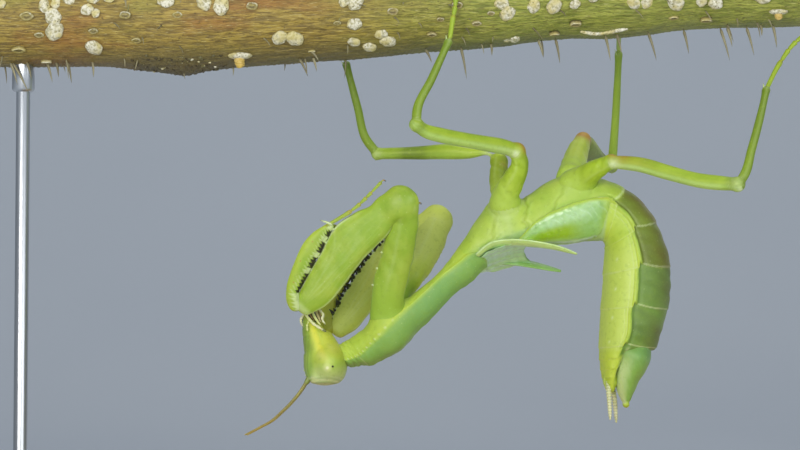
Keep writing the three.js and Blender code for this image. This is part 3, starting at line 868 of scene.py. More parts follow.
def head_relief(points, angle):
    x, y, z = points.T
    away = np.abs(y)
    facing = ease(-np.cos(angle), 0.25, 0.8)
    lift = 0.1 * hump(z, 13.0, 0.4) * hump(away, 1.3, 0.4)
    lift -= 0.035 * (1 - ease(z, 13.2, 13.9)) * (hump(away, 0.35, 0.12) + hump(away, 0.95, 0.12))
    lift += facing * 0.05 * between(z, 14.5, 16.1, 0.15) * (1 - ease(away, 0.9, 1.05))
    lift -= facing * 0.04 * hump(z, 16.35, 0.12) * (1 - ease(away, 1.3, 1.5))
    lift -= facing * 0.05 * hump(z, 18.1, 0.12)
    lift -= facing * 0.04 * hump(z, 19.15, 0.1)
    lift += facing * 0.04 * (hump(away, 1.35, 0.1) + hump(away, 1.8, 0.1)) * between(z, 13.9, 17.4, 0.3)
    lift -= 0.035 * hump(x + (z - 18) * 0.35, -12.15, 0.14) * between(z, 17.6, 19.6, 0.3)
    lift += 0.04 * hump(x + (z - 18) * 0.35, -11.6, 0.3) * between(z, 16.8, 19.2, 0.4)
    return lift * np.maximum(ease(from_eye(x, z), 1.02, 1.3), 1 - ease(away, 0.9, 1.3))


def head_tones(points):
    """What the head and the eyes are painted by, so that one runs into the other."""
    x, y, z = points.T
    away = np.abs(y)
    facing = ease(-x, 12.6, 13.5)
    streak_x = np.interp(z, [14.6, 15.6, 17.3, 18.8, 20.0], [-11.35, -11.75, -12.35, -12.9, -13.25])
    width = np.interp(z, [14.6, 16.4, 20.0], [0.95, 0.6, 0.4])
    streak = hump(x, streak_x, width) * ease(z, 14.4, 16.4) * (1 - ease(z, 19.6, 20.3)) * ease(away, 0.6, 1.2)
    slanted = x + 0.3 * (z - 16)
    cheek = ease(slanted, -12.0, -11.2) * ease(z, 14.6, 17.0)
    front = between(x + 0.12 * (z - 15), -13.0, -12.3, 0.2) * ease(z, 13.8, 15.0)
    low = 1 - ease(z + 0.12 * (x + 11.5), 13.6, 15.2)
    crown = 1 - ease(z, 13.1, 13.8)
    stripes = 0.5 + 0.5 * np.sin((z + 0.1 * (x + 11.7) ** 2) * 13)
    patch = hump(x, -12.9, 0.4) * hump(z, 13.2, 0.4)
    # A darker spot on the front of the face is painted shade.
    dark = hump(x, -13.1, 0.24) * hump(z, 17.1, 0.7)
    ridges = hump(away, 1.35, 0.13) + hump(away, 1.8, 0.13)
    return {
        "leaf": 0.35 * facing * ease(z, 15.4, 17.0) + 0.3 * dark,
        "deep": 0.3 * dark + 0.3 * facing * (1 - ridges) + 0.45 * cheek * ease(slanted, -11.4, -10.2),
        "blue": 0.35 * facing * (1 - ease(z, 15, 17)) + crown * 0.9 + 0.15 * low,
        "edge": np.maximum(0.2 * streak, 0.25 * cheek) + 0.3 * front,
        "yellow": np.maximum(0.8 * streak, 0.42 * cheek) * (1 - 0.5 * low),
        "pale": (0.1 + 0.45 * stripes) * crown + 0.45 * patch + 0.45 * low * (1 - facing)
        + 0.3 * streak * (1 - ease(z, 15.6, 17.0)),
        "brown": 0.06 * cheek + 0.2 * ease(z, 19.9, 20.3),
    }


def make_head():
    bm = new_skin()

    def marks(part, angle):
        return head_tones(head_surface(part, angle))

    def place(part, angle):
        points = head_surface(part, angle)
        x, y, _ = points.T
        out = unit(np.stack([x + 11.9, 1.4 * y, 0.6 * (part - 0.5)], -1))
        return points + out * head_relief(points, angle)[:, None]

    roll(bm, 220, 160, place, marks)
    # Three tiny simple eyes stand on the brow.
    for x, y, z in ((-13.95, 0, 14.3), (-13.75, 0.45, 13.75), (-13.75, -0.45, 13.75)):
        ball = bmesh.ops.create_uvsphere(bm, u_segments=16, v_segments=10, radius=0.15)["verts"]
        bmesh.ops.translate(bm, vec=(x, y, z), verts=ball)
        layer = bm.verts.layers.float["pale"]
        for vert in ball:
            vert[layer] = 0.8
    piece("head_skin", bm, MAT_BODY, ("head",))


def eye_finish():
    """The head's own colours under a clear dome of fine facets, with a small false pupil and a painted
    highlight.
    """
    eye = Finish("eye_dome")
    colour, _, fleck = skin_colour(eye, BODY_GREEN, BODY_LIGHT, GREEN_TONES)
    x = eye.height("X")
    y = eye.height("Y").math("ABSOLUTE", eye.height("Y"))
    z = eye.height("Z")
    dome = y.eased(2.9, 3.2)
    # A painted highlight and the false pupil, each round its own middle.
    patch = ((x + 11.3) ** 2.0 + (z - 14.5) ** 2.0) ** 0.5
    pupil = ((x + 10.68) ** 2.0 + (z - 14.66) ** 2.0) ** 0.5
    colour = eye.layered(
        colour,
        ((1 - patch.eased(0.1, 0.75)) * dome * 0.5, "dfe3a4"),
        ((1 - patch.eased(0.06, 0.26)) * dome * 0.6, "f2f4d4"),
        ((1 - pupil.eased(0.09, 0.16)) * dome, "1c180a"),
    )
    facets = eye.cells(0.07)
    rough = 0.46 + 0.12 * fleck
    bump = facets * 0.25 + fleck * 0.6
    return eye.surface(colour, rough, bump, 0.012, Coat_Weight=0.12, Coat_Roughness=0.2, **SKIN_LIGHT)


def make_eyes():
    """Each eye is a clear dome that lies in the head's own curve and has no edge."""
    finish = eye_finish()
    for name, side in SIDE_OF.items():
        bm = new_skin()

        def place(part, angle, side=side):
            share = np.sin(math.pi * part)
            x = EYE_MIDDLE[0] + EYE_RADII[0] * share * np.cos(angle)
            z = EYE_MIDDLE[2] + EYE_RADII[2] * share * np.sin(angle)
            front = EYE_RISE * ((1 - share ** 2) ** 2 - 0.12)
            back = -0.1 - 1.2 * np.sqrt(np.clip(1 - share ** 2, 0, 1))
            return np.stack([x, side * (flank_at(x, z) + np.where(part < 0.5, front, back)), z], -1)

        roll(bm, 140, 120, place, lambda part, angle: head_tones(place(part, angle)))
        piece(f"eye_{name}_dome", bm, finish, (f"eye_{name}",))


def at_joints(part, count, width):
    """1 at each joint of a part of so many segments, and next to nothing between them."""
    share = np.mod(part * count, 1)
    return hump(share, 0, width) + hump(share, 1, width)


def flat_size(sizes):
    """Round sizes, from (part, radius) alone."""
    return [(part, radius, radius, radius) for part, radius in sizes]


def make_feelers():
    """Each antenna has a thick first joint, a short second, and a lash of many small rings."""
    lash = [(-13.75, 1.1, 12.95), (-14.5, 1.3, 11.8), (-15.4, 1.5, 10.7), (-16.6, 1.8, 9.5),
            (-17.6, 2.0, 8.6), (-19.0, 2.3, 7.8), (-20.7, 2.7, 6.9)]
    rings = 46

    def ringed(part, angle):
        return -0.022 * hump(np.mod(part * rings, 1), 0.5, 0.25)

    def lash_marks(part, angle):
        return {
            "deep": 0.3 * (1 - ease(part, 0, 0.12)),
            "brown": 0.35 * ease(part, 0.1, 0.9),
            "black": 0.25 * hump(np.mod(part * rings, 1), 0.5, 0.15),
        }

    for name, side in SIDE_OF.items():
        bm = new_skin()
        mirror = np.array([1, side, 1])
        base = np.array([(-13.3, 1.0, 13.7), (-13.6, 1.08, 13.15), (-13.9, 1.15, 12.7)]) * mirror
        shape = flat_size([(0, 0.3), (0.4, 0.3), (0.8, 0.24), (1, 0.18)])
        sweep(bm, base, shape, (0, 1, 0), 16, 20, marks=lambda part, angle: {"deep": 0.3, "blue": 0.4})
        shape = flat_size([(0, 0.19), (0.3, 0.155), (1, 0.085)])
        sweep(bm, np.array(lash) * mirror, shape, (0, 1, 0), rings * 5, 12, ringed, lash_marks)
        piece(f"antenna_{name}_lash", bm, MAT_ANTENNA, (f"antenna_{name}",))


# The mouth's lobes on one side: (points, radius, how brown, how yellow).
MOUTH_LOBES = [
    ([(-14.05, 0.3, 20.75), (-14.42, 0.35, 20.05), (-14.2, 0.3, 19.3)], 0.16, 0, 0),
    ([(-13.1, 1.15, 20.95), (-12.7, 1.4, 20.2), (-12.1, 1.5, 19.4)], 0.16, 0.05, 0.5),
    ([(-12.75, 0.95, 21.1), (-12.4, 1.3, 20.45), (-12.1, 1.35, 19.75)], 0.15, 0.5, 0.2),
    ([(-13.5, 0.9, 20.9), (-13.15, 1.1, 20.35), (-12.85, 1.2, 19.95)], 0.1, 0.8, 0.2),
    ([(-12.45, 0.3, 21.2), (-12.2, 0.6, 20.6), (-12.0, 0.6, 20.0)], 0.13, 0.75, 0.1),
    ([(-13.7, 0.5, 20.7), (-13.75, 0.8, 21.1), (-13.5, 0.85, 21.3)], 0.28, 0.1, 0.5),
]


def make_mouth():
    """Jaws and lip lobes round a black core, on top of the head; the core is painted shade in the gaps
    between the lobes.
    """
    bm = new_skin()
    # The black core is painted shade between the lobes.
    dark = [(-13.75, 0, 20.55), (-13.0, 0, 20.45), (-12.2, 0, 19.75)]
    sizes = [(0, 0.35, 0.4, 0.9), (0.5, 0.65, 0.5, 1.15), (1, 0.35, 0.35, 1.0)]
    sweep(bm, dark, sizes, (0.5, 0, 0.8), 16, 32, marks=lambda part, angle: {"black": 0.97})
    for side in (-1, 1):
        mirror = np.array([1, side, 1])
        for points, radius, brown, yellow in MOUTH_LOBES:
            shape = flat_size([(0, radius * 0.8), (0.4, radius), (1, radius * 0.55)])
            tone = {"brown": brown, "edge": yellow}
            sweep(bm, np.array(points) * mirror, shape, (0, 1, 0), 16, 16,
                  marks=lambda part, angle, tone=tone: {
                      **tone, "black": 0.5 * np.maximum(tone["brown"], ease(part, 0.93, 1))})
    piece("mouth_lobes", bm, MAT_PALE, ("mouthparts",))


def long_palp_marks(part, angle):
    joint = at_joints(part, 5, 0.12)
    return {"edge": 0.35 * (1 - ease(part, 0, 0.8)), "brown": 0.5 * joint * ease(part, 0.5, 0.8),
            "deep": 0.7 * ease(part, 0.82, 0.88), "black": 0.5 * ease(part, 0.84, 0.9)}


# The palps of one side: (points, radii, joints, marks).
PALPS = [
    ([(-13.95, 1.55, 20.85), (-13.5, 1.8, 20.2), (-12.95, 1.95, 19.6), (-12.3, 2.05, 19.15),
      (-11.45, 2.0, 18.65)], [(0, 0.14), (0.4, 0.17), (0.8, 0.14), (1, 0.1)], 5, long_palp_marks),
    ([(-12.3, 1.3, 21.25), (-11.85, 1.55, 20.65), (-11.95, 1.6, 20.15), (-11.65, 1.65, 19.6)],
     [(0, 0.11), (0.5, 0.12), (1, 0.08)], 4, None),
    ([(-13.4, 1.6, 20.0), (-13.65, 1.8, 19.4), (-13.6, 1.85, 18.7)],
     [(0, 0.07), (0.5, 0.09), (1, 0.09)], 3, lambda part, angle: {"edge": 0.5}),
]


def make_palps():
    """Three jointed palps on each side of the mouth, each a soft tube that swells between its joints."""
    for name, side in SIDE_OF.items():
        bm = new_skin()
        for points, radii, joints, marks in PALPS:
            def swelling(part, angle, joints=joints):
                return 0.05 * np.sin(math.pi * np.mod(part * joints, 1)) - 0.03

            sweep(bm, np.array(points) * np.array([1, side, 1]), flat_size(radii), (0.2, 1, 0.3),
                  joints * 12, 14, swelling, marks)
        piece(f"palp_{name}_joints", bm, MAT_PALE, (f"palp_{name}",))


# ---- Legs ----

# Each limb ends where the next one starts, inside a rounded joint.
LEGS = {
    "fore_right": {
        "coxa": [(-4.4, -0.8, 19.8), (-4.45, -2.2, 22.0), (-4.2, -3.2, 23.9), (-3.4, -4.5, 26.8),
                 (-3.0, -5.6, 28.9), (-2.65, -6.9, 31.6), (-2.9, -7.4, 32.8)],
        "femur": [(-2.95, -7.45, 32.9), (-8.5, -5.2, 27.3), (-14.3, -2.9, 21.4)],
        "tibia": [(-14.7, -2.9, 21.0), (-15.05, -3.4, 22.2), (-14.75, -4.1, 24.5), (-14.15, -4.7, 26.25),
                  (-12.95, -5.4, 28.6), (-11.75, -5.9, 30.0), (-10.7, -6.3, 30.75)],
        "tarsus": [(-11.0, -6.4, 30.65), (-7.9, -7.3, 32.6), (-6.5, -7.7, 33.9), (-5.15, -8.1, 35.3)],
    },
    "fore_left": {
        "coxa": [(-4.2, 0.8, 19.6), (-3.5, 2.2, 23.3), (-1.2, 4.3, 26.6), (0.3, 6.2, 29.5),
                 (1.25, 7.4, 31.9)],
        "femur": [(1.3, 7.5, 32.05), (-4.7, 6.2, 25.9), (-10.5, 4.5, 18.95)],
        "tibia": [(-10.65, 4.4, 18.8), (-11.75, 4.7, 20.3), (-11.2, 5.2, 22.6), (-9.4, 5.9, 25.9),
                  (-6.3, 6.8, 29.7)],
        "tarsus": [(-5.8, 6.8, 29.5), (-3.6, 7.4, 31.2), (-2.6, 7.8, 32.3), (-1.0, 8.3, 34.0)],
    },
    "mid_right": {
        "coxa": [(9.0, -0.6, 33.2), (9.05, -2.0, 34.3), (9.85, -3.1, 35.8), (10.6, -4.3, 37.65),
                 (10.25, -5.0, 39.05)],
        "femur": [(10.25, -5.0, 39.05), (8.75, -5.9, 39.45), (6.65, -7.3, 39.7), (4.0, -9.0, 40.0),
                  (1.55, -10.8, 40.3), (-0.4, -12.1, 40.75), (-1.25, -12.7, 41.3)],
        "tibia": [(-1.25, -12.7, 41.3), (-1.15, -12.0, 43.0), (0.5, -10.2, 46.7), (2.55, -7.9, 51.5)],
        "tarsus": [(2.6, -7.8, 51.7), (2.9, -7.3, 53.7), (3.2, -7.05, 55.4), (3.4, -7.1, 58.6)],
    },
    "mid_left": {
        "coxa": [(9.1, 0.4, 33.2), (8.35, 3.2, 36.4), (8.6, 4.9, 38.65)],
        "femur": [(8.5, 5.0, 38.8), (7.3, 5.4, 39.7), (4.8, 6.0, 39.9), (2.5, 6.8, 40.1), (-0.7, 8.2, 40.1),
                  (-5.75, 9.8, 40.15)],
        "tibia": [(-5.75, 9.8, 40.15), (-7.1, 9.5, 41.9), (-8.05, 8.9, 45.5), (-9.5, 8.2, 51.0)],
        "tarsus": [(-9.6, 8.1, 51.2), (-10.0, 7.6, 53.0), (-10.3, 7.3, 54.9), (-10.4, 7.2, 58.4)],
    },
    "hind_right": {
        "coxa": [(16.6, -0.6, 35.4), (17.85, -2.4, 36.2), (19.35, -4.2, 37.1), (20.85, -5.6, 37.8)],
        "femur": [(20.85, -5.6, 37.8), (24.0, -7.3, 37.3), (26.9, -9.0, 36.3), (30.4, -11.0, 35.2),
                  (34.3, -13.1, 34.6)],
        "tibia": [(34.4, -13.1, 34.6), (35.1, -12.6, 35.6), (36.2, -10.9, 38.75), (37.3, -9.0, 42.1),
                  (38.6, -5.5, 46.3)],
        "tarsus": [(38.7, -4.8, 46.3), (40.3, -3.4, 49.2), (42.6, -2.3, 52.1), (45.6, -2.2, 53.8)],
    },
    "hind_left": {
        "coxa": [(16.6, -0.4, 36.0), (17.3, 3.2, 38.8), (18.45, 6.8, 41.6)],
        "femur": [(18.45, 6.8, 41.5), (20.3, 14.0, 40.2), (22.8, 21.0, 39.6)],
        "tibia": [(22.8, 21.0, 39.6), (23.15, 18.5, 46.0), (23.35, 15.6, 53.2)],
        "tarsus": [(23.3, 15.5, 53.3), (23.1, 12.3, 54.7), (22.8, 9.4, 55.8), (22.7, 6.9, 58.2)],
    },
}
# How soon a limb's skin eases into its joint.
JOINT_BLEND = 0.4


def joint(middle, radius, depth=0.9, size=1.0):
    return middle, (radius * size, radius * size * depth, radius * size), JOINT_BLEND


def on_limb(route, sizes, guide, part, angle):
    """A point on a limb's skin, the way out of it there, and the limb's heading."""
    line = Route(route)
    outer, inner, thick = smooth(sizes, part)[0]
    reach = outer if math.cos(angle) > 0 else inner
    heading, broad, flat = (axis[0] for axis in line.axes(np.array([part]), guide))
    normal = unit(broad * math.cos(angle) / reach + flat * math.sin(angle) / thick)
    middle = line.point(part)[0]
    skin = middle + broad * math.cos(angle) * reach + flat * math.sin(angle) * thick
    return skin, normal, heading


def leg_piece(node, bm, kind="skin"):
    """Makes a part of a leg a piece, in the finish of the front legs or of the walking legs."""
    finish, slot = (MAT_FORELEG, "foreleg_cuticle") if "_fore_" in node else (MAT_LEG, "leg_cuticle")
    piece(f"{node}_{kind}", bm, finish, (node,))


def limb_end(route, guide):
    """The end of a limb, and its heading, its breadth's way and its side there."""
    axes = Route(route).axes(np.array([0.97]), guide)
    return np.array(route[-1], float), *(axis[0] for axis in axes)


# ---- Front legs ----

FORE_COXA_SIZES = {
    "right": [(0, 1.6, 1.6, 1.3), (0.2, 1.85, 1.8, 1.4), (0.35, 1.87, 1.85, 1.35), (0.55, 1.8, 1.8, 1.25),
              (0.75, 1.75, 1.75, 1.2), (0.9, 1.65, 1.65, 1.1), (1, 1.45, 1.45, 1.0)],
    "left": [(0, 1.6, 1.6, 1.3), (0.3, 1.75, 1.75, 1.3), (0.6, 1.8, 1.8, 1.25), (0.85, 1.85, 1.85, 1.15),
             (1, 1.6, 1.6, 1.0)],
}
FORE_FEMUR_SIZES = {
    "right": [(0, 1.6, 0.9, 1.05), (0.06, 2.2, 0.9, 1.1), (0.16, 2.33, 1.17, 1.12),
              (0.24, 2.78, 1.32, 1.15), (0.35, 3.27, 1.22, 1.15), (0.43, 3.46, 1.22, 1.12),
              (0.535, 3.1, 1.36, 1.08), (0.645, 2.5, 1.6, 1.0), (0.73, 2.25, 1.78, 0.95),
              (0.8, 1.9, 1.88, 0.9), (0.88, 1.53, 1.75, 0.85), (0.94, 1.28, 1.5, 0.8), (1, 1.1, 1.2, 0.72)],
    "left": [(0, 1.5, 1.1, 0.95), (0.1, 2.3, 1.1, 1.05), (0.26, 2.6, 1.3, 1.15), (0.46, 2.7, 1.3, 1.1),
             (0.65, 2.35, 1.45, 1.0), (0.8, 1.95, 1.6, 0.9), (0.92, 1.5, 1.5, 0.8), (1, 1.0, 1.1, 0.7)],
}
FORE_TIBIA_SIZES = {
    "right": [(0, 0.72, 0.65, 0.55), (0.12, 0.88, 0.62, 0.62), (0.2, 0.95, 0.62, 0.62),
              (0.3, 0.93, 0.9, 0.6), (0.4, 0.87, 1.18, 0.58), (0.55, 0.84, 1.36, 0.55), (0.7, 0.8, 1.5, 0.5),
              (0.8, 0.62, 1.28, 0.46), (0.9, 0.35, 1.0, 0.4), (1, 0.2, 0.35, 0.26)],
    "left": [(0, 0.9, 0.9, 0.6), (0.1, 1.15, 1.15, 0.7), (0.35, 1.0, 1.05, 0.66), (0.7, 0.9, 0.95, 0.6),
             (1, 0.6, 0.6, 0.5)],
}
FORE_GUIDES = {"coxa": (-1, 0, 0.3), "femur": (-0.76, 0, 0.65), "tibia": (-0.9, 0, 0.45)}
FOOT_GRIP = (0.6, 0, -0.4)
FORE_ELBOWS = {"right": 2.05, "left": 1.85}
TUBERCLES = 12
SHIN_THORNS = 17


def make_fore_coxa(name, routes, hand):
    bm = new_skin()
    guide = FORE_GUIDES["coxa"]
    route = routes["coxa"]
    sizes = FORE_COXA_SIZES[hand]
    near = hand == "right"
    far = not near
    # The front edge has tubercles; on the near coxa it is on the guide's side.
    edge = 0 if near else math.pi

    def relief(part, angle):
        lean = np.cos(angle)
        ridge = hump(lean, math.cos(edge), 0.05)
        lift = 0.06 * ridge * between(part, 0.25, 0.9, 0.08)
        lift += 0.05 * hump(lean, 0.15, 0.1) * between(part, 0.3, 0.9, 0.1)
        lift += 0.04 * hump(lean, -0.45, 0.1) * between(part, 0.25, 0.85, 0.1)
        lift += 0.04 * wobble(21, (7, 3), part, angle)
        return lift

    def marks(part, angle):
        lean = np.cos(angle)
        # On the far coxa, the edge, pale and yellow marks are painted light against the near leg's shadow,
        # and the deep mark on its lower part is painted shade.
        return {
            "edge": 0.45 * hump(lean, math.cos(edge), 0.06) + 0.3 * (1 - ease(part, 0.15, 0.45)) * near
            + (0.65 + 0.35 * hump(lean, 0.1, 0.4)) * far * ease(part, 0.25, 0.5),
            "pale": 0.28 * far * ease(part, 0.4, 0.7) + 0.12 * hump(lean, 0.15, 0.12)
            + 0.1 * hump(lean, -math.cos(edge), 0.04),
            "yellow": 0.3 * far * ease(part, 0.4, 0.7),
            "deep": 0.35 * (1 - ease(part, 0.35, 0.6)) * far,
            "root": 1 - ease(part, 0.2, 0.45),
        }

    elbow = joint(routes["femur"][0], FORE_ELBOWS[hand], 0.66, 0.97)
    sweep(bm, route, sizes, guide, 120, 64, relief, marks, ends=(0.6, 0.9), past=(0, 1.2), flat=0.85,
          lumps=[elbow, coxa_root("fore", SIDE_OF[hand], 0.95)])
    draw = random.Random(23)
    for index in range(TUBERCLES):
        part = 0.3 + 0.047 * index + draw.uniform(-0.01, 0.01)
        large = index % 3 == 0 or far
        foot, normal, _ = on_limb(route, sizes, guide, part, edge + 0.25 * near)
        length = (0.3 if large else 0.12) if near else 0.16
        radius = (0.24 if large else 0.14) if near else 0.12
        spine(bm, foot - normal * 0.1, foot + normal * length, radius, black_from=2, marks={"pale": 0.7})
    if near:
        # The two pale spots on the near coxa's top are a painted sheen.
        stain(bm, [("pale", (-1.9, -8.2, 33.4), 0.4, 0.2), ("pale", (-1.6, -8.0, 32.4), 0.4, 0.25)])
    leg_piece(f"coxa_{name}", bm)


def blade_creases(part, angle):
    """Faint folds that fan out over the thigh's flat face from the knee."""
    across = np.cos(angle) * ease(part, 0.2, 0.6)
    fan = sum(hump(across, place * (1.05 - part) * 2.2, 0.04) for place in (-0.45, 0.05, 0.5))
    return fan * between(part, 0.35, 0.93, 0.08)


OUTER_THORNS = (0.45, 0.553, 0.657, 0.759)
# The inner row of thorns: (first place, step, count, angle round the thigh).
INNER_THORNS = {"right": (0.47, 0.024, 19, 0.3), "left": (0.2, 0.027, 29, -0.36)}


def make_fore_femur(name, routes, hand):
    bm = new_skin()
    guide = FORE_GUIDES["femur"]
    route = routes["femur"]
    sizes = FORE_FEMUR_SIZES[hand]
    side = SIDE_OF[hand]
    near = hand == "right"
    far = not near

    def relief(part, angle):
        lean = np.cos(angle)
        lift = 0.1 * hump(lean, -1, 0.05) * between(part, 0.16, 0.95, 0.05)
        lift += 0.1 * hump(lean, 1, 0.06) * between(part, 0.2, 0.95, 0.05)
        lift -= 0.03 * hump(lean, 0.86, 0.05) * between(part, 0.2, 0.92, 0.05)
        lift += 0.02 * blade_creases(part, angle)
        lift += 0.03 * wobble(31, (6, 3), part, angle)
        return lift

    def marks(part, angle):
        lean = np.cos(angle)
        shade = 0.25 * ease(-lean, -0.15, 0.75) * ease(part, 0.35, 0.75) * far
        veins = hump(np.mod(lean * 4 + part * 3, 1), 0.5, 0.12) * between(part, 0.2, 0.85, 0.1)
        # On the far thigh, shade is painted shade; the edge, yellow and pale marks are painted light, with a
        # painted highlight along the blade's middle.
        return {
            "edge": 0.4 * hump(lean, -1, 0.03) + 0.18 * ease(lean, 0.5, 0.9)
            + (0.45 * hump(lean, 0.25, 0.45) + 0.6) * far * (1 - 0.4 * shade),
            "yellow": (0.3 + 0.35 * hump(lean, 0.3, 0.3) * hump(part, 0.45, 0.25)) * far,
            "pale": 0.2 * far + 0.9 * hump(lean, 0.97, 0.025) * between(part, 0.3, 0.95, 0.05)
            + 0.12 * blade_creases(part, angle) + 0.4 * ease(part, 0.95, 0.99) * near
            + 0.45 * hump(lean, -0.97, 0.03) * ease(part, 0.1, 0.2) + 0.07 * veins,
            "deep": shade + 0.25 * hump(part, 0.9, 0.12) * far,
        }

    elbow = joint(route[0], FORE_ELBOWS[hand], 0.66)
    sweep(bm, route, sizes, guide, 170, 90, relief, marks, ends=(0.9, 0.9), past=(1.3, 0.5), flat=0.65,
          lumps=[elbow])
    if near:
        # The pale spot at the thigh's base is a painted sheen, like the spots on the coxa's top.
        stain(bm, [("pale", (-1.9, -8.4, 33.3), 0.35, 0.25), ("deep", (-3.2, -8.6, 34.0), 1.4, 0.4),
                   ("deep", (-14.4, -3.0, 20.8), 0.5, 0.3)])
    # The outer row has four big thorns, which cross the gap to the shin.
    for part in OUTER_THORNS:
        foot, normal, heading = on_limb(route, sizes, guide, part, 0.3 * side)
        tip = foot + normal * 0.95 - heading * 0.3
        spine(bm, foot - normal * 0.25, tip, 0.2, bow=heading * 0.08, black_from=2, marks={"pale": 0.75},
              sides=10)
    # The inner row has many dark thorns, long and short by turns.
    draw = random.Random(37)
    start, step, count, turn = INNER_THORNS[hand]
    for index in range(count):
        foot, normal, heading = on_limb(route, sizes, guide, start + step * index, turn)
        length = (1.15 if index % 2 else 0.7) * draw.uniform(0.8, 1.3)
        lean = heading * draw.uniform(-0.6, 0.3) + np.array([0, side, 0]) * draw.uniform(-0.2, 0.5)
        spine(bm, foot - normal * 0.15, foot + (normal + lean) * length, draw.uniform(0.18, 0.3),
              black_from=0.08)
        if far and index % 3:
            bead = foot + normal * 0.05 - heading * 0.25
            spine(bm, bead - normal * 0.2, bead + normal * 0.3, 0.16, black_from=2, marks={"pale": 0.8})
    if near:
        # One long discoidal spine lies across the shin's end and points away from it.
        spine(bm, (-10.6, -6.5, 30.5), (-12.15, -6.75, 31.1), 0.17, bow=(0, 0, 0.06), black_from=0.78,
              marks={"pale": 0.9}, sides=10)
    leg_piece(f"femur_{name}", bm)


# Each claw's bends, as (ahead of the shin's end, inward, back), and its radii.
CLAWS = {
    "right": ([(-0.6, 0.3, 0), (0, 1.2, 0.35), (0.2, 2.3, 1.1), (-0.3, 2.7, 1.9)],
              [(0, 0.2), (0.4, 0.26), (0.8, 0.15), (1, 0.04)]),
    "left": ([(-0.3, 0.4, 0), (0.7, 1.3, 0), (0.3, 2.1, 0.6), (-0.75, 2.3, 1.15)],
             [(0, 0.4), (0.4, 0.3), (0.8, 0.18), (1, 0.05)]),
}
TIBIA_DOTS = ((0.3, 0.25), (0.52, 0.3), (0.74, 0.1))
# Where the shin stands open from the thigh, between the thigh's big thorns; there the gap's shade is painted
# on the shin.
TIBIA_GAPS = ((0.2, 0.42), (0.485, 0.608), (0.672, 0.798), (0.872, 0.94))


def make_fore_tibia(name, routes, hand):
    bm = new_skin()
    guide = FORE_GUIDES["tibia"]
    route = routes["tibia"]
    sizes = FORE_TIBIA_SIZES[hand]
    side = SIDE_OF[hand]
    near = hand == "right"
    far = not near

    def relief(part, angle):
        lean = np.cos(angle)
        lift = 0.04 * hump(lean, 1, 0.06)
        lift -= 0.12 * ease(-lean, 0.55, 0.65) * between(part, 0.18, 0.95, 0.03) * near
        return lift + 0.015 * wobble(33, (6, 2), part, angle)

    def marks(part, angle):
        lean = np.cos(angle)
        inner = smooth(sizes, part)[:, 1]
        # A toothed dark band, half a millimetre wide, runs along the shin's inner edge: painted shade of the
        # gap between shin and thigh.
        teeth = 0.42 * np.mod(part * 26, 1)
        depth = (1 + lean) * inner - teeth
        limit = 0.14 + 0.16 * ease(part, 0.22, 0.6)
        gap_shade = (1 - ease(depth - limit, -0.04, 0.04)) * ease(-lean, 0.05, 0.15)
        gaps = sum(between(part, start, end, 0.008) for start, end in TIBIA_GAPS)
        dots = sum(hump(part, at, 0.008) * hump(lean, aside, 0.09) for at, aside in TIBIA_DOTS)
        # On the far shin, the deep mark is painted shade.
        return {
            "edge": 0.5 * ease(lean, -0.2, 0.8) * (1 - 0.4 * far),
            "deep": 0.2 * ease(-lean, 0.2, 0.6) * near + 0.35 * far,
            "black": 0.97 * gap_shade * gaps * near + 0.85 * ease(-lean, 0.84, 0.94) * far,
            "pale": (0.35 * hump(depth, 0.55, 0.1) * between(part, 0.15, 0.95, 0.03)
                     + 0.7 * (1 - ease(depth, 0.3, 0.6)) * (1 - gaps)) * near + 0.3 * ease(lean, 0.93, 1),
            "brown": 0.9 * dots * near + 0.22 * far,
            "yellow": 0.25 * far,
        }

    sweep(bm, route, sizes, guide, 320, 72, relief, marks)
    for turn in (-0.6,) if near else (0.5, -0.5):
        for index in range(SHIN_THORNS):
            part = 0.19 + 0.043 * index
            foot, normal, heading = on_limb(route, sizes, guide, part, math.pi + turn * side)
            length = 0.3 + 0.012 * index
            spine(bm, foot - normal * 0.12, foot + normal * length * 0.6 + heading * length * 0.7, 0.11,
                  black_from=0.1)
    # The claw carries on past the foot's joint and curves back to the thigh's inner face.
    end, heading, broad, _ = limb_end(route, guide)
    inward = np.array([0, -side, 0]) * (1.0 if near else 0.8)
    bends, radii = CLAWS[hand]
    claw = [end + heading * ahead + inward * inside - broad * back for ahead, inside, back in bends]
    sweep(bm, claw, flat_size(radii), guide, 30, 16,
          marks=lambda part, angle: {"black": ease(part, 0.4, 0.65), "brown": 0.5 * ease(part, 0.1, 0.4)})
    leg_piece(f"tibia_{name}", bm)


# Where the five segments of a foot start and end, as parts of its length.
FORE_FOOT_ENDS = (0.0, 0.42, 0.58, 0.7, 0.8, 1.0)
WALKING_FOOT_ENDS = (0.0, 0.4, 0.55, 0.67, 0.77, 1.0)


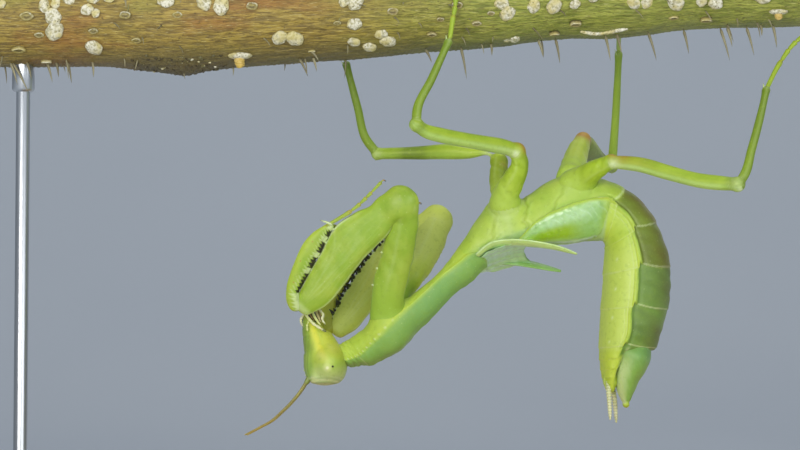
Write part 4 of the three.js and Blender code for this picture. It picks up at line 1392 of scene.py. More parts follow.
def make_foot(name, route, radius, ends, grip, rusty):
    """A foot of five segments with a pad under each, and two claws that reach along grip."""
    bm = new_skin()
    cuts = np.array(ends)
    route = [tuple(np.array(route[0]) * 1.15 - np.array(route[1]) * 0.15)] + list(route)

    def within(part):
        segment = np.clip(np.searchsorted(cuts, part, side="right") - 1, 0, 4)
        return (part - cuts[segment]) / (cuts[segment + 1] - cuts[segment])

    def relief(part, angle):
        share = within(part)
        flare = 0.35 * radius * share ** 3 - 0.34 * radius * (hump(share, 0, 0.12) + hump(share, 1, 0.05))
        return flare + 0.3 * radius * share ** 2 * ease(-np.cos(angle), 0.3, 0.9)

    def marks(part, angle):
        share = within(part)
        return {
            "brown": rusty * (hump(share, 0, 0.08) + hump(share, 1, 0.1)) + 0.08 * rusty,
            "pale": 0.3 * ease(-np.cos(angle), 0.2, 0.9),
            "edge": 0.2,
            "deep": 0.4,
        }

    shape = flat_size([(0, radius), (0.4, radius * 0.85), (0.8, radius * 0.8), (1, radius * 0.62)])
    sweep(bm, route, shape, -np.array(grip, float), 120, 20, relief, marks)
    end, heading, broad, flat = limb_end(route, grip)
    shape = flat_size([(0, radius * 0.38), (0.5, radius * 0.28), (1, 0.02)])
    for side in (-1, 1):
        foot = end - heading * radius * 0.4 + flat * radius * 0.35 * side
        bend = end + heading * radius * 1.5 + flat * radius * 0.9 * side + broad * radius * 0.2
        tip = end + heading * radius * 1.9 + flat * radius * 1.0 * side + broad * radius * 1.7
        sweep(bm, [foot, bend, tip], shape, grip, 14, 8,
              marks=lambda part, angle: {"brown": ease(part, 0.2, 0.6), "black": ease(part, 0.6, 0.9)})
    leg_piece(f"tarsus_{name}", bm, "joints")


# ---- Walking legs ----

MID_FEMUR = [(0, 0.8, 0.8, 0.75), (0.12, 0.87, 0.88, 0.78), (0.45, 0.82, 0.84, 0.72), (0.85, 0.8, 0.82, 0.68),
             (1, 0.7, 0.7, 0.6)]
# The far middle thigh is pinched where it leaves its trochanter.
PINCHED_FEMUR = [(0, 0.5, 0.5, 0.5), (0.09, 0.2, 0.2, 0.3), (0.2, 0.5, 0.55, 0.5), (0.36, 0.86, 0.86, 0.75),
                 (0.6, 0.82, 0.82, 0.72), (0.78, 0.72, 0.72, 0.66), (1, 0.66, 0.66, 0.58)]
HIND_FEMUR = [(0, 0.7, 0.7, 0.7), (0.1, 0.78, 0.78, 0.74), (0.3, 0.86, 0.84, 0.74), (0.6, 0.8, 0.82, 0.7),
              (0.88, 0.8, 0.82, 0.68), (1, 0.7, 0.72, 0.6)]
# Each joint's stains are (mark, middle, radius, strength).
WALKING = {
    "mid_right": {
        "coxa": [(0, 1.5, 1.5, 1.5), (0.15, 1.5, 1.5, 1.45), (0.43, 1.35, 1.4, 1.3), (0.76, 1.0, 1.05, 1.0),
                 (1, 0.85, 0.85, 0.85)],
        "femur": MID_FEMUR, "elbow": 0.98, "knee": 0.8,
        "stains": [("brown", (11.1, -5.3, 39.3), 0.6, 0.85), ("brown", (10.6, -5.2, 39.9), 0.6, 0.7),
                   ("brown", (9.7, -5.4, 40.2), 0.5, 0.4), ("pale", (10.1, -5.9, 38.6), 0.45, 0.7),
                   ("pale", (-1.95, -12.9, 40.6), 0.3, 0.5)],
    },
    "mid_left": {
        "coxa": [(0, 1.4, 1.4, 1.4), (0.5, 1.05, 1.05, 1.1), (0.9, 1.0, 1.0, 0.9), (1, 0.9, 0.95, 0.85)],
        "femur": PINCHED_FEMUR, "elbow": 1.05, "knee": 0.72,
        "stains": [("pale", (7.2, 5.2, 39.7), 0.6, 0.6), ("brown", (8.9, 3.9, 38.2), 0.6, 0.3),
                   ("pale", (-5.9, 9.1, 40.0), 0.6, 0.3)],
    },
    "hind_right": {
        "coxa": [(0, 1.7, 1.7, 1.6), (0.3, 1.5, 1.5, 1.45), (0.65, 1.2, 1.2, 1.15), (1, 0.78, 0.78, 0.8)],
        "femur": HIND_FEMUR, "elbow": 0.86, "knee": 0.84,
        "stains": [("brown", (21.0, -6.0, 38.6), 0.6, 0.75), ("brown", (22.3, -6.6, 38.4), 0.8, 0.65),
                   ("pale", (21.2, -6.5, 37.6), 0.6, 0.7), ("pale", (34.2, -13.8, 34.6), 0.8, 0.3),
                   ("pale", (34.7, -13.5, 33.9), 0.4, 0.7)],
    },
    "hind_left": {
        "coxa": [(0, 1.8, 1.8, 1.7), (0.5, 1.38, 1.38, 1.3), (0.8, 1.15, 1.2, 1.05), (1, 0.85, 0.85, 0.85)],
        "femur": flat_size([(0, 0.8), (0.1, 1.0), (0.35, 1.1), (0.7, 0.85), (1, 0.7)]),
        "elbow": 0.9, "knee": 0.75,
        "stains": [("brown", (18.3, 6.3, 42.2), 1.2, 0.97), ("brown", (18.9, 6.4, 41.7), 0.9, 0.6)],
    },
}
SHIN_SIZES = [(0, 0.5, 0.5, 0.5), (0.06, 0.54, 0.52, 0.5), (0.3, 0.5, 0.48, 0.46), (0.6, 0.46, 0.46, 0.43),
              (0.92, 0.44, 0.44, 0.4), (0.97, 0.47, 0.48, 0.42), (1, 0.38, 0.38, 0.34)]


# The angles round the thigh at which its four ridges run.
FEMUR_RIDGES = (0.9, 2.25, -0.9, -2.25)
# How far a limb's skin runs on into a joint, as a part of the joint's radius.
JOINT_REACH = 0.7


def make_walking_coxa(name, routes, far):
    bm = new_skin()
    shape = WALKING[name]
    kind, hand = name.split("_")

    def relief(part, angle):
        lean = np.cos(angle)
        lift = 0.05 * hump(lean, 0.5, 0.12) - 0.05 * hump(lean, -0.2, 0.1)
        return lift * between(part, 0.35, 0.85, 0.1) + 0.03 * wobble(51, (5, 3), part, angle)

    def marks(part, angle):
        lean = np.cos(angle)
        return {
            "edge": 0.3 * (1 - ease(part, 0.35, 0.75)) + 0.45 * (name == "hind_left"),
            "root": 1 - ease(part, 0.2, 0.6),
            "brown": 0.06 * far,
            "deep": 0.35 * ease(part, 0.35, 0.6) * ease(lean, 0.1, 0.9)
            + 0.45 * (name == "mid_left") * ease(lean, -0.4, 0.4),
            "pale": 0.15 * hump(lean, -0.45, 0.15) * ease(part, 0.3, 0.6),
        }

    elbow = joint(routes["femur"][0], shape["elbow"], 0.95, 0.97)
    sweep(bm, routes["coxa"], shape["coxa"], (1, 0, 0), 90, 48, relief, marks, ends=(0.6, 0.9),
          past=(0, shape["elbow"] * JOINT_REACH), lumps=[elbow, coxa_root(kind, SIDE_OF[hand], 0.93)])
    stain(bm, shape["stains"])
    leg_piece(f"coxa_{name}", bm)


def make_walking_femur(name, routes, near):
    bm = new_skin()
    shape = WALKING[name]
    route = routes["femur"]
    far = not near
    guide = (0, 0, 1)

    def relief(part, angle):
        ridges = sum(hump(np.mod(angle - place + math.pi, TURN), math.pi, 0.16) for place in FEMUR_RIDGES)
        return 0.04 * ridges * between(part, 0.08, 0.93, 0.04)

    def marks(part, angle):
        lean = np.cos(angle)
        under = ease(-lean, -0.05, 0.45)
        flecks = np.maximum(wobble(61, (60, 9), part, angle), 0)
        # The near thighs are painted lighter underneath and darker on top, against the lamps' light from
        # above; the deep and black marks of the two far thighs are painted shade.
        return {
            "blue": (0.55 if near else 0.3) * under * ease(part, 0.04, 0.2) * (name != "hind_left"),
            "pale": near * under * (0.4 - 0.2 * ease(part, 0.05, 0.35)) * (1 - 0.8 * ease(part, 0.85, 0.95))
            + 0.2 * flecks * ease(part, 0.9, 0.97),
            "edge": 0.22 * hump(lean, 0.05, 0.2) + 0.3 * far * (1 - ease(part, 0.2, 0.5)),
            "brown": 0.2 * (1 - under) * hump(part, 0.2, 0.15) * (name == "hind_right"),
            "deep": 0.45 * near * ease(part, 0.88, 0.96) + 0.2 * near * (1 - under)
            + (0.95 * hump(part, 0.7, 0.12) + 0.3 * ease(part, 0.4, 0.6)) * (name == "mid_left")
            + (1.0 - 0.5 * ease(part, 0.85, 0.95)) * (name == "hind_left"),
            "black": 0.3 * (1 - ease(part, 0.6, 0.9)) * (name == "hind_left"),
        }

    sweep(bm, route, shape["femur"], guide, 150, 48, relief, marks,
          past=(shape["elbow"] * JOINT_REACH, shape["knee"] * JOINT_REACH),
          lumps=[joint(route[0], shape["elbow"], 0.95), joint(routes["tibia"][0], shape["knee"])])
    stain(bm, shape["stains"])
    # The knee has a small pale point on its lower lobe.
    foot, normal, heading = on_limb(route, shape["femur"], guide, 0.98, math.pi)
    spine(bm, foot - heading * 0.2 - normal * 0.3, foot + heading * 0.6 + normal * 0.12, 0.26, black_from=2,
          marks={"pale": 0.5}, sides=10)
    leg_piece(f"femur_{name}", bm)


def make_walking_tibia(name, routes, near):
    bm = new_skin()
    knee = WALKING[name]["knee"]
    route = routes["tibia"]
    guide = (1, 0, 0)

    def relief(part, angle):
        return 0.03 * hump(np.cos(angle), 0.0, 0.15)

    def marks(part, angle):
        flecks = np.maximum(wobble(62, (60, 9), part, angle), 0)
        return {
            "pale": 0.2 * ease(part, 0.93, 1) + 0.15 * flecks * (1 - ease(part, 0.03, 0.14))
            + 0.12 * hump(np.cos(angle), 0.3, 0.3) * near,
            "deep": (0.75 + 0.2 * ease(part, 0.1, 0.6)) * (1 - 0.5 * (name == "hind_left")),
            "blue": 0.35 * (name == "hind_left"),
        }

    sweep(bm, route, SHIN_SIZES, guide, 110, 32, relief, marks, past=(knee * JOINT_REACH, 0),
          lumps=[joint(route[0], knee, 0.9, 0.96)])
    # Two short spurs stand beside the foot's joint.
    for turn in (0.9, -0.9):
        foot, normal, heading = on_limb(route, SHIN_SIZES, guide, 0.965, turn + math.pi)
        spine(bm, foot - normal * 0.1, foot + normal * 0.3 + heading * 0.5, 0.09, black_from=0.8,
              marks={"pale": 0.6})
    leg_piece(f"tibia_{name}", bm)


def make_legs():
    for name, routes in LEGS.items():
        kind, hand = name.split("_")
        if kind == "fore":
            make_fore_coxa(name, routes, hand)
            make_fore_femur(name, routes, hand)
            make_fore_tibia(name, routes, hand)
            make_foot(name, routes["tarsus"], 0.21, FORE_FOOT_ENDS, FOOT_GRIP, 0.55)
        else:
            near = hand == "right"
            make_walking_coxa(name, routes, not near)
            make_walking_femur(name, routes, near)
            make_walking_tibia(name, routes, near)
            make_foot(name, routes["tarsus"], 0.28, WALKING_FOOT_ENDS, (0, -SIDE_OF[hand], 0), 0.3)


# ---- Wing pads ----

PAD_SIZES = [(0, 0.35, 0.4, 0.2), (0.15, 0.5, 0.75, 0.24), (0.4, 0.5, 0.85, 0.2), (0.7, 0.48, 0.55, 0.18),
             (0.92, 0.28, 0.28, 0.14), (1, 0.1, 0.1, 0.08)]
FAR_PAD_SIZES = [(0, 0.5, 0.5, 0.3), (0.25, 0.95, 0.95, 0.3), (0.6, 0.8, 0.7, 0.26), (0.9, 0.4, 0.4, 0.18),
                 (1, 0.15, 0.15, 0.12)]
HIND_PAD_SIZES = [(0, 0.35, 0.35, 0.4), (0.3, 1.75, 1.6, 0.85), (0.6, 2.45, 2.3, 1.05), (0.8, 2.6, 2.35, 1.0),
                  (1, 2.6, 2.3, 0.7)]
PADS = {
    "wing_pad_right": ([(5.7, -2.3, 27.3), (7.3, -2.9, 28.45), (9.6, -3.4, 28.8), (12.5, -3.7, 28.55),
                        (14.8, -3.9, 28.1), (17.1, -4.0, 27.4)], (0, -0.86, 0.5), PAD_SIZES),
    "wing_pad_left": ([(6.4, 2.2, 26.9), (8.9, 2.9, 27.1), (12.3, 3.5, 26.6), (15.7, 4.0, 25.9)],
                      (0, 0.86, 0.5), FAR_PAD_SIZES),
}
# The two hind pads mirror each other.
HIND_PAD = [(10.6, 2.3, 28.9), (13.6, 2.75, 30.15), (16.5, 2.75, 30.9), (19.0, 2.5, 31.5), (21.0, 1.7, 31.7)]
for hand, side in SIDE_OF.items():
    PADS[f"hind_wing_pad_{hand}"] = ([(x, side * y, z) for x, y, z in HIND_PAD], (0, side * 0.5, 0.85),
                                     HIND_PAD_SIZES)


def make_wing_pads():
    for name, (route, guide, sizes) in PADS.items():
        bm = new_skin()
        hind = name.startswith("hind")
        near = name.endswith("right")
        far = not near

        def relief(part, angle, hind=hind):
            lean = np.cos(angle)
            veins = np.sin(lean * 17) * ease(np.abs(np.sin(angle)), 0.2, 0.6)
            lift = 0.012 * veins + 0.07 * hump(lean, 1, 0.1)
            if hind:
                wrinkles = np.sin(part * 75 + 3 * lean) * between(part, 0.25, 0.95, 0.1)
                frill = (0.5 + 0.5 * np.sin(part * 95)) * between(part, 0.8, 0.95, 0.03)
                lift += 0.03 * wrinkles * between(lean, -0.1, 0.9, 0.2) - 0.4 * frill * ease(-lean, 0.8, 0.98)
                lift += 0.02 * wobble(71, (7, 5), part, angle)
            return lift

        def marks(part, angle, hind=hind, near=near, far=far):
            lean = np.cos(angle)
            if not hind:
                band = ease(lean, -0.65, -0.2) if near else hump(lean, 1, 0.1)
                return {"edge": (0.75 if near else 0.1) * band, "blue": 0.3 * far,
                        "pale": 0.3 * hump(lean, 0.97, 0.03) + 0.35 * band * near + 0.6 * (1 - band) * near}
            leafy = between(part, 0.14, 0.6, 0.12) * between(lean, -0.62, 0.3, 0.2)
            # On the hind pads, the pale on the upper face and the slanting pale streaks are painted
            # highlights.
            return {
                "edge": 0.75 * hump(lean, 1, 0.07) + 0.35 * (1 - ease(part, 0.0, 0.25))
                + 0.75 * ease(part, 0.8, 0.97),
                "deep": 0.95 * leafy,
                "pale": 0.45 * hump(lean, 0.6, 0.25) * between(part, 0.3, 0.8, 0.1)
                + 0.7 * ease(-lean, 0.68, 0.85) * between(part, 0.4, 0.85, 0.1)
                + 0.35 * hump(np.mod(part * 13 + 2 * lean + 0.2 * np.sin(part * 40), 1), 0.5, 0.07)
                * between(lean, 0.3, 0.8, 0.1) * between(part, 0.35, 0.95, 0.05),
            }

        sweep(bm, route, sizes, guide, 100, 64, relief, marks)
        piece(f"{name}_blade", bm, MAT_PAD, (name,))


# ---- Perch ----

TWIG = [(-50.5, 0, 56.2), (-37, 0, 56.2), (-28.4, 0, 55.7), (-20, 0, 56.3), (-9.4, 0, 56.9), (8.5, 0, 58.4),
        (31.6, 0, 60.1), (50.5, 0, 60.9)]
TWIG_RADIUS = 6.9
TWIG_SIZES = flat_size([(0, TWIG_RADIUS), (0.13, TWIG_RADIUS), (0.22, 6.95), (0.3, TWIG_RADIUS), (0.4, 6.7),
                        (0.6, 6.6), (0.8, 6.5), (1, 6.4)])
TWIG_GUIDE = (0, 0, -1)
# Along the twig, the middle of the knot.
KNOT = 0.222


def make_twig():
    bm = new_skin()

    def relief(part, angle):
        under = hump(np.mod(angle + math.pi, TURN), math.pi, 0.6)
        lift = 0.14 * wobble(41, (6, 1), part, angle) + 0.06 * wobble(42, (14, 7), part, angle)
        lift += 0.035 * wobble(43, (5, 30), part, angle) + 0.02 * wobble(44, (40, 20), part, angle)
        # The knot: a swelling with a scar across it, and rough bark under it.
        lift += 0.35 * hump(part, KNOT, 0.014) * hump(np.mod(angle + 1, TURN), 1.3, 0.6)
        lift += 0.1 * wobble(45, (260, 24), part, angle) * between(part, 0.17, 0.26, 0.02) * under
        lift += 0.05 * wobble(46, (200, 20), part, angle) * under
        return lift

    def marks(part, angle):
        under = hump(np.mod(angle + math.pi, TURN), math.pi, 0.55)
        wavy = part - 0.003 * np.sin(angle * 4)
        facing = hump(np.mod(angle + 1, TURN), 1.45, 0.4)
        scar = hump(wavy, KNOT - 0.0025, 0.0022) * facing
        return {"deep": np.maximum(0.9 * under * between(part, 0.17, 0.27, 0.02), scar),
                "pale": 0.8 * hump(wavy, KNOT + 0.0025, 0.0016) * facing}

    sweep(bm, TWIG, TWIG_SIZES, TWIG_GUIDE, 560, 170, relief, marks, ends=(0.03, 0.03))
    piece("twig_bark", bm, bark_finish(), ("perch_twig",))
    make_crusts()
    make_bristles()


# The height of the twig's middle at X = 0, and how much it rises for each millimetre of X.
PITH_HEIGHT = 58.55
PITH_RISE = 0.047


def bark_finish():
    bark = Finish("twig_bark")
    along = bark.mark("along")
    streaks = bark.noise(0.26, 6, (9, 1, 1), 0.8)
    fine = bark.noise(0.11, 5, (7, 1, 1), 0.3)
    patches = bark.noise(6, 4, (2.4, 1, 1))
    lines = bark.noise(0.55, 4, (14, 1, 1), 0.9)
    specks = bark.noise(0.25, 3, (2, 1, 1))
    orange = bark.layered(
        bark.mix(streaks.eased(0.35, 0.65), "74602a", "a8903e"),
        (patches.eased(0.5, 0.66) * 0.7, "99642a"),
        ((1 - patches.eased(0.32, 0.45)) * 0.6, "8f8a36"),
    )
    green = bark.mix(streaks.eased(0.35, 0.65), "76802e", "a3a648")
    green = bark.mix(patches.eased(0.52, 0.7) * 0.4, green, "8f9a34")
    colour = bark.mix((along + 0.3 * patches - 0.15).eased(0.34, 0.6), orange, green)
    # Darker towards the twig's underside: painted shade, with algae in it.
    low = (bark.height("Z") * -1 + 0.045 * bark.height("X") + 1.6 * patches - 0.8).eased(-53.2, -50.6)
    cracks = lines.eased(0.48, 0.495) - lines.eased(0.505, 0.52)
    colour = bark.layered(
        colour,
        (low * 0.6, bark.mix(fine.eased(0.4, 0.6), "3f3e28", "6f6f48")),
        (fine.eased(0.52, 0.66) * 0.5, "55461f"),
        (specks.eased(0.64, 0.7) * 0.6, "4a3a1c"),
        (cracks * (0.35 + 0.4 * low), "4a3f22"),
        ((1 - fine.eased(0.3, 0.42)) * 0.4, "cbbf86"),
        (bark.mark("pale") * 0.8, "c9bf9a"),
        (bark.mark("deep") * 0.75, bark.mix(fine.eased(0.4, 0.6), "2c2618", "6a6240")),
    )
    # The sawn ends show pale wood with rings and a small pith.
    x = bark.height("X")
    middle = bark.height("Z") - (PITH_HEIGHT + PITH_RISE * x)
    out = (bark.height("Y") ** 2.0 + middle ** 2.0) ** 0.5
    ring = out * 5.5 + 0.8 * bark.noise(3.0)
    wood = bark.mix(ring.math("SINE", ring).eased(-0.6, 0.8), "c9b083", "b59863")
    wood = bark.mix(1 - out.eased(0.5, 0.8), wood, "8a6a3c")
    wood = bark.mix(out.eased(5.7, 6.0), wood, "6d6a2c")
    sawn = 1 - along.math("MINIMUM", along, 1 - along).eased(0.0016, 0.0023)
    colour = bark.mix(sawn, colour, wood)
    bump = streaks * 1.0 + fine * 1.0 + lines * 0.8 + specks * 0.5
    return bark.surface(colour, 0.66 - 0.2 * streaks, bump, 0.09)


LOOSE_CRUSTS = 60
LOOSE_CUPS = 36
CRUMBS = 130
LOOSE_HAIRS = 170
# White cottony crusts on the twig's near side: (x, z, radius).
CRUSTS = [
    (-42.4, 54.2, 1.0), (-42.3, 52.7, 1.1), (-37.8, 51.0, 1.0), (-38.5, 55.0, 0.7), (-37.5, 54.6, 0.5),
    (-25.3, 55.8, 0.9), (-23.4, 55.4, 1.0), (-29.6, 56.0, 0.9), (-17.0, 52.0, 0.9), (-15.3, 51.9, 1.0),
    (-8.5, 53.4, 0.8), (-8.7, 51.5, 0.7), (-7.0, 51.0, 0.8), (-4.9, 51.6, 0.9), (-5.6, 52.3, 0.7),
    (-8.2, 55.8, 0.9), (-9.5, 55.9, 0.6), (8.9, 54.6, 0.9), (8.3, 55.7, 0.8), (11.9, 55.4, 0.8),
    (14.2, 55.4, 0.9), (16.6, 55.6, 0.6), (18.8, 56.5, 0.7), (9.6, 52.0, 0.7), (8.7, 51.9, 0.5),
    (23.3, 55.8, 0.8), (24.8, 55.9, 0.8), (28.1, 55.8, 1.0), (31.1, 56.0, 0.7), (32.7, 55.7, 0.8),
    (38.1, 56.4, 0.9), (-43.4, 55.4, 0.7), (-42.1, 55.7, 0.6), (-48.2, 55.6, 0.5), (-40.6, 56.2, 0.7),
    (-36.0, 56.3, 0.6), (-37.8, 56.3, 0.7),
]
# Little open cups in the bark, each with a dark middle: (x, z, radius).
CUPS = [
    (-45.4, 54.3, 0.7), (-34.1, 54.4, 0.6), (-28.3, 54.4, 0.5), (-37.8, 52.7, 0.5), (-46.6, 50.8, 0.7),
    (-43.7, 49.7, 0.6), (-44.1, 52.3, 0.5), (-32.7, 51.7, 0.5), (-19.9, 55.4, 0.6), (-4.1, 54.8, 0.6),
    (-10.4, 53.5, 0.4), (1.2, 53.9, 0.4), (0.1, 52.3, 0.5), (3.2, 55.5, 0.6), (-13.5, 50.6, 0.4),
    (5.3, 53.5, 0.5), (16.6, 53.5, 0.6), (14.2, 52.5, 0.5), (27.9, 54.2, 0.5), (31.7, 54.0, 0.6),
    (7.0, 54.6, 0.4),
]


def twig_part(x):
    return (x - TWIG[0][0]) / (TWIG[-1][0] - TWIG[0][0])


def bark_seat(x, z):
    """Where a spot of the near side lies: how far along the twig, and its angle round it."""
    part = twig_part(x)
    axis = Route(TWIG).point(part)[0]
    return part, math.acos(np.clip((axis[2] - z) / TWIG_RADIUS, -1, 1))


def seat(part, turn):
    """The foot of a spot on the bark, and the way out of the bark there."""
    foot, normal, _ = on_limb(TWIG, TWIG_SIZES, TWIG_GUIDE, part, turn)
    side = -1 if turn < math.pi else 1
    for vector in (foot, normal):
        vector[1] = side * abs(vector[1])
    return foot, normal


def settle(bm, verts, foot, normal):
    """Moves a spot to its place on the bark: its X runs along the twig, its Z out of the bark."""
    out = Vector(normal).normalized()
    along = (Vector((1, 0, 0)) - out * out.x).normalized()
    turned = Matrix((along, out.cross(along), out)).transposed().to_4x4()
    bmesh.ops.transform(bm, matrix=Matrix.Translation(Vector(foot)) @ turned, verts=verts)


def crust_finish():
    crust = Finish("lichen_crust")
    lumps = crust.noise(0.3, 5)
    colour = crust.mix(lumps.eased(0.35, 0.6), "a59e76", "dedac4")
    colour = crust.layered(
        colour,
        (crust.noise(1.2).eased(0.45, 0.62) * 0.7, "c5b76c"),
        ((1 - crust.cells(0.5).eased(0.1, 0.2)) * 0.8, "5a5030"),
        (crust.mark("deep"), "7d7a45"),
        (crust.mark("yellow"), "c8a63a"),
        (crust.mark("black"), "3a301c"),
    )
    return crust.surface(colour, 0.8, lumps + 0.4 * crust.cells(0.2), 0.06)


def scattered(draw, spots, count, largest):
    """The spots that are placed one by one, and a scatter of others: (part, turn, radius)."""
    seats = [(*bark_seat(x, z), radius) for x, z, radius in spots]
    for _ in range(count):
        seats.append((draw.uniform(0.03, 0.97), draw.uniform(1.75, TURN - 0.5), draw.uniform(0.4, largest)))
    return seats


def add_cottony_crusts(bm, draw):
    low = bm.verts.layers.float["deep"]
    for part, turn, radius in scattered(draw, CRUSTS, LOOSE_CRUSTS, 0.95):
        foot, normal = seat(part, turn)
        ball = bmesh.ops.create_icosphere(bm, subdivisions=3, radius=radius)["verts"]
        lean = draw.uniform(0, TURN)
        for vert in ball:
            around = math.atan2(vert.co.y, vert.co.x)
            bulge = 1 + 0.1 * math.sin(2 * around + lean) + 0.05 * math.sin(5 * around + 2 * lean)
            bulge += 0.03 * math.sin(vert.co.z * 7 / radius + 4 * around)
            vert[low] = 0.7 * max(0, 0.3 - vert.co.z / radius)
            vert.co *= bulge + draw.uniform(-0.015, 0.015)
            vert.co.z = 0.42 * vert.co.z + 0.08 * radius
        settle(bm, ball, foot, normal)


def add_cups(bm, draw):
    """Open cups, and a thin bent stalk that leads up out of some of them."""
    for part, turn, radius in scattered(draw, CUPS, LOOSE_CUPS, 0.65):
        foot, normal = seat(part, turn)
        before = set(bm.verts)

        def cup(part, angle, radius=radius):
            share = np.sin(math.pi * part)
            wall = radius * (0.18 + 0.3 * hump(share, 0.8, 0.2) * (1 + 0.7 * np.sin(angle)))
            height = np.where(part < 0.5, wall, -0.3 * radius)
            reach = radius * share * (1 + 0.06 * np.sin(4 * angle + radius * 30))
            return np.stack([reach * np.cos(angle) * 1.15, reach * np.sin(angle) * 0.75, height], -1)

        def cup_marks(part, angle):
            share = np.sin(math.pi * part) * (part < 0.5)
            rim = hump(share, 0.82, 0.12) * ease(np.sin(angle), -0.6, 0.8)
            shade = hump(share, 0.35, 0.3) * ease(-np.sin(angle), -0.5, 0.5)
            return {"deep": 0.75 * (1 - rim), "yellow": 0.25 * (1 - rim),
                    "black": 0.75 * shade + 0.8 * (part > 0.46)}

        roll(bm, 20, 24, cup, cup_marks)
        settle(bm, [vert for vert in bm.verts if vert not in before], foot, normal)
        if draw.random() < 0.6:
            tip = foot + np.array([draw.uniform(-0.5, 0.7), 0, draw.uniform(0.8, 1.6)]) + 0.25 * normal
            spine(bm, foot, tip, 0.09, bow=(0.2, 0, 0.1), black_from=2, marks={"deep": 0.9})


# Stalked caps: (middle of the cap, foot of the stalk, radius).
CAPS = [((-21.4, -3.3, 50.25), (-21.2, -3.1, 48.8), 1.45), ((40.2, -3.9, 55.2), (40.4, -3.7, 54.3), 1.1)]
SCAR_RIDGE = [(17.4, -5.2, 52.7), (19.0, -5.1, 52.45), (20.6, -5.2, 52.6), (22.9, -5.4, 52.95)]
SCAR_SIZES = [(0, 0.1, 0.1, 0.2), (0.2, 0.22, 0.18, 0.3), (0.5, 0.13, 0.2, 0.3), (0.8, 0.25, 0.15, 0.3),
              (1, 0.1, 0.1, 0.2)]


def add_caps_and_ridge(bm):
    for cap, stalk, radius in CAPS:
        ball = bmesh.ops.create_icosphere(bm, subdivisions=3, radius=radius)["verts"]
        for vert in ball:
            vert.co.z *= 0.35 if vert.co.z < 0 else 0.22
            vert.co.x *= 1 + 0.05 * math.sin(vert.co.y * 9)
            vert.co.y *= 0.7
        bmesh.ops.translate(bm, vec=cap, verts=ball)
        halfway = (cap[0], cap[1], (cap[2] + stalk[2]) / 2)
        sizes = flat_size([(0, radius * 0.5), (0.5, radius * 0.4), (1, radius * 0.3)])
        sweep(bm, [cap, halfway, stalk], sizes, (1, 0, 0), 24, 20,
              lambda part, angle: 0.06 * wobble(49, (5, 4), part, angle),
              marks=lambda part, angle: {"yellow": 0.4 + 0.4 * ease(part, 0.15, 0.4)}, ends=(1, 0.5))
    sweep(bm, SCAR_RIDGE, SCAR_SIZES, (0, 0, 1), 60, 16,
          lambda part, angle: 0.05 * wobble(48, (12, 3), part, angle))


def add_crumbs(bm, draw):
    """Dark crumbs of rough bark under the knot."""
    dark = bm.verts.layers.float["black"]
    low = bm.verts.layers.float["deep"]
    for _ in range(CRUMBS):
        part = draw.gauss(KNOT, 0.022)
        foot, normal = seat(part, draw.uniform(0, 0.6))
        ball = bmesh.ops.create_icosphere(bm, subdivisions=2, radius=draw.uniform(0.1, 0.26))["verts"]
        shade = draw.choice((0.0, 0.5, 0.7, 0.9, 0.95))
        for vert in ball:
            vert.co *= 1 + draw.uniform(-0.18, 0.18)
            vert[dark] = shade
            vert[low] = 0.8 * (shade > 0)
        settle(bm, ball, foot - 0.04 * normal, normal)


def make_crusts():
    bm = new_skin()
    draw = random.Random(11)
    add_cottony_crusts(bm, draw)
    add_cups(bm, draw)
    add_caps_and_ridge(bm)
    add_crumbs(bm, draw)
    piece("lichen_crusts", bm, crust_finish())


# Stiff hairs under the twig: (foot x, foot z, tip x, tip z).
BRISTLES = [
    (-47.9, 49.0, -46.9, 46.9), (-47.7, 48.6, -45.6, 46.0), (-46.0, 49.3, -45.3, 47.5),
    (-43.7, 49.5, -42.9, 47.2), (-42.6, 49.3, -42.2, 47.8), (-41.3, 48.8, -40.7, 47.1),
    (-38.4, 49.3, -38.2, 47.8), (-13.4, 50.9, -12.3, 49.5), (-14.7, 49.7, -13.6, 47.9),
    (-13.1, 49.5, -12.6, 48.5), (-0.2, 51.1, 0.6, 49.5), (3.9, 51.3, 4.6, 47.6), (7.4, 51.6, 7.5, 50.3),
    (12.8, 51.9, 13.4, 50.1), (14.8, 51.9, 15.3, 49.4), (20.5, 52.3, 21.1, 49.7), (21.8, 52.4, 22.4, 50.5),
    (25.4, 52.9, 26.4, 49.7), (29.5, 53.3, 30.1, 50.5), (33.7, 53.2, 34.8, 49.7), (34.5, 53.3, 35.1, 51.3),
    (36.7, 53.6, 37.6, 50.3), (38.4, 53.5, 38.5, 52.6), (39.8, 53.4, 40.2, 51.2), (-34.1, 55.0, -34.3, 56.6),
    (-28.4, 54.9, -27.8, 56.1), (-20.0, 55.8, -20.0, 56.6), (-0.1, 51.2, 1.9, 52.1), (7.0, 54.9, 6.1, 56.6),
    (5.0, 53.9, 4.0, 55.4),
]


# How far from the twig's middle the hairs have their roots, just inside the bark.
ROOT_DEPTH = 6.6


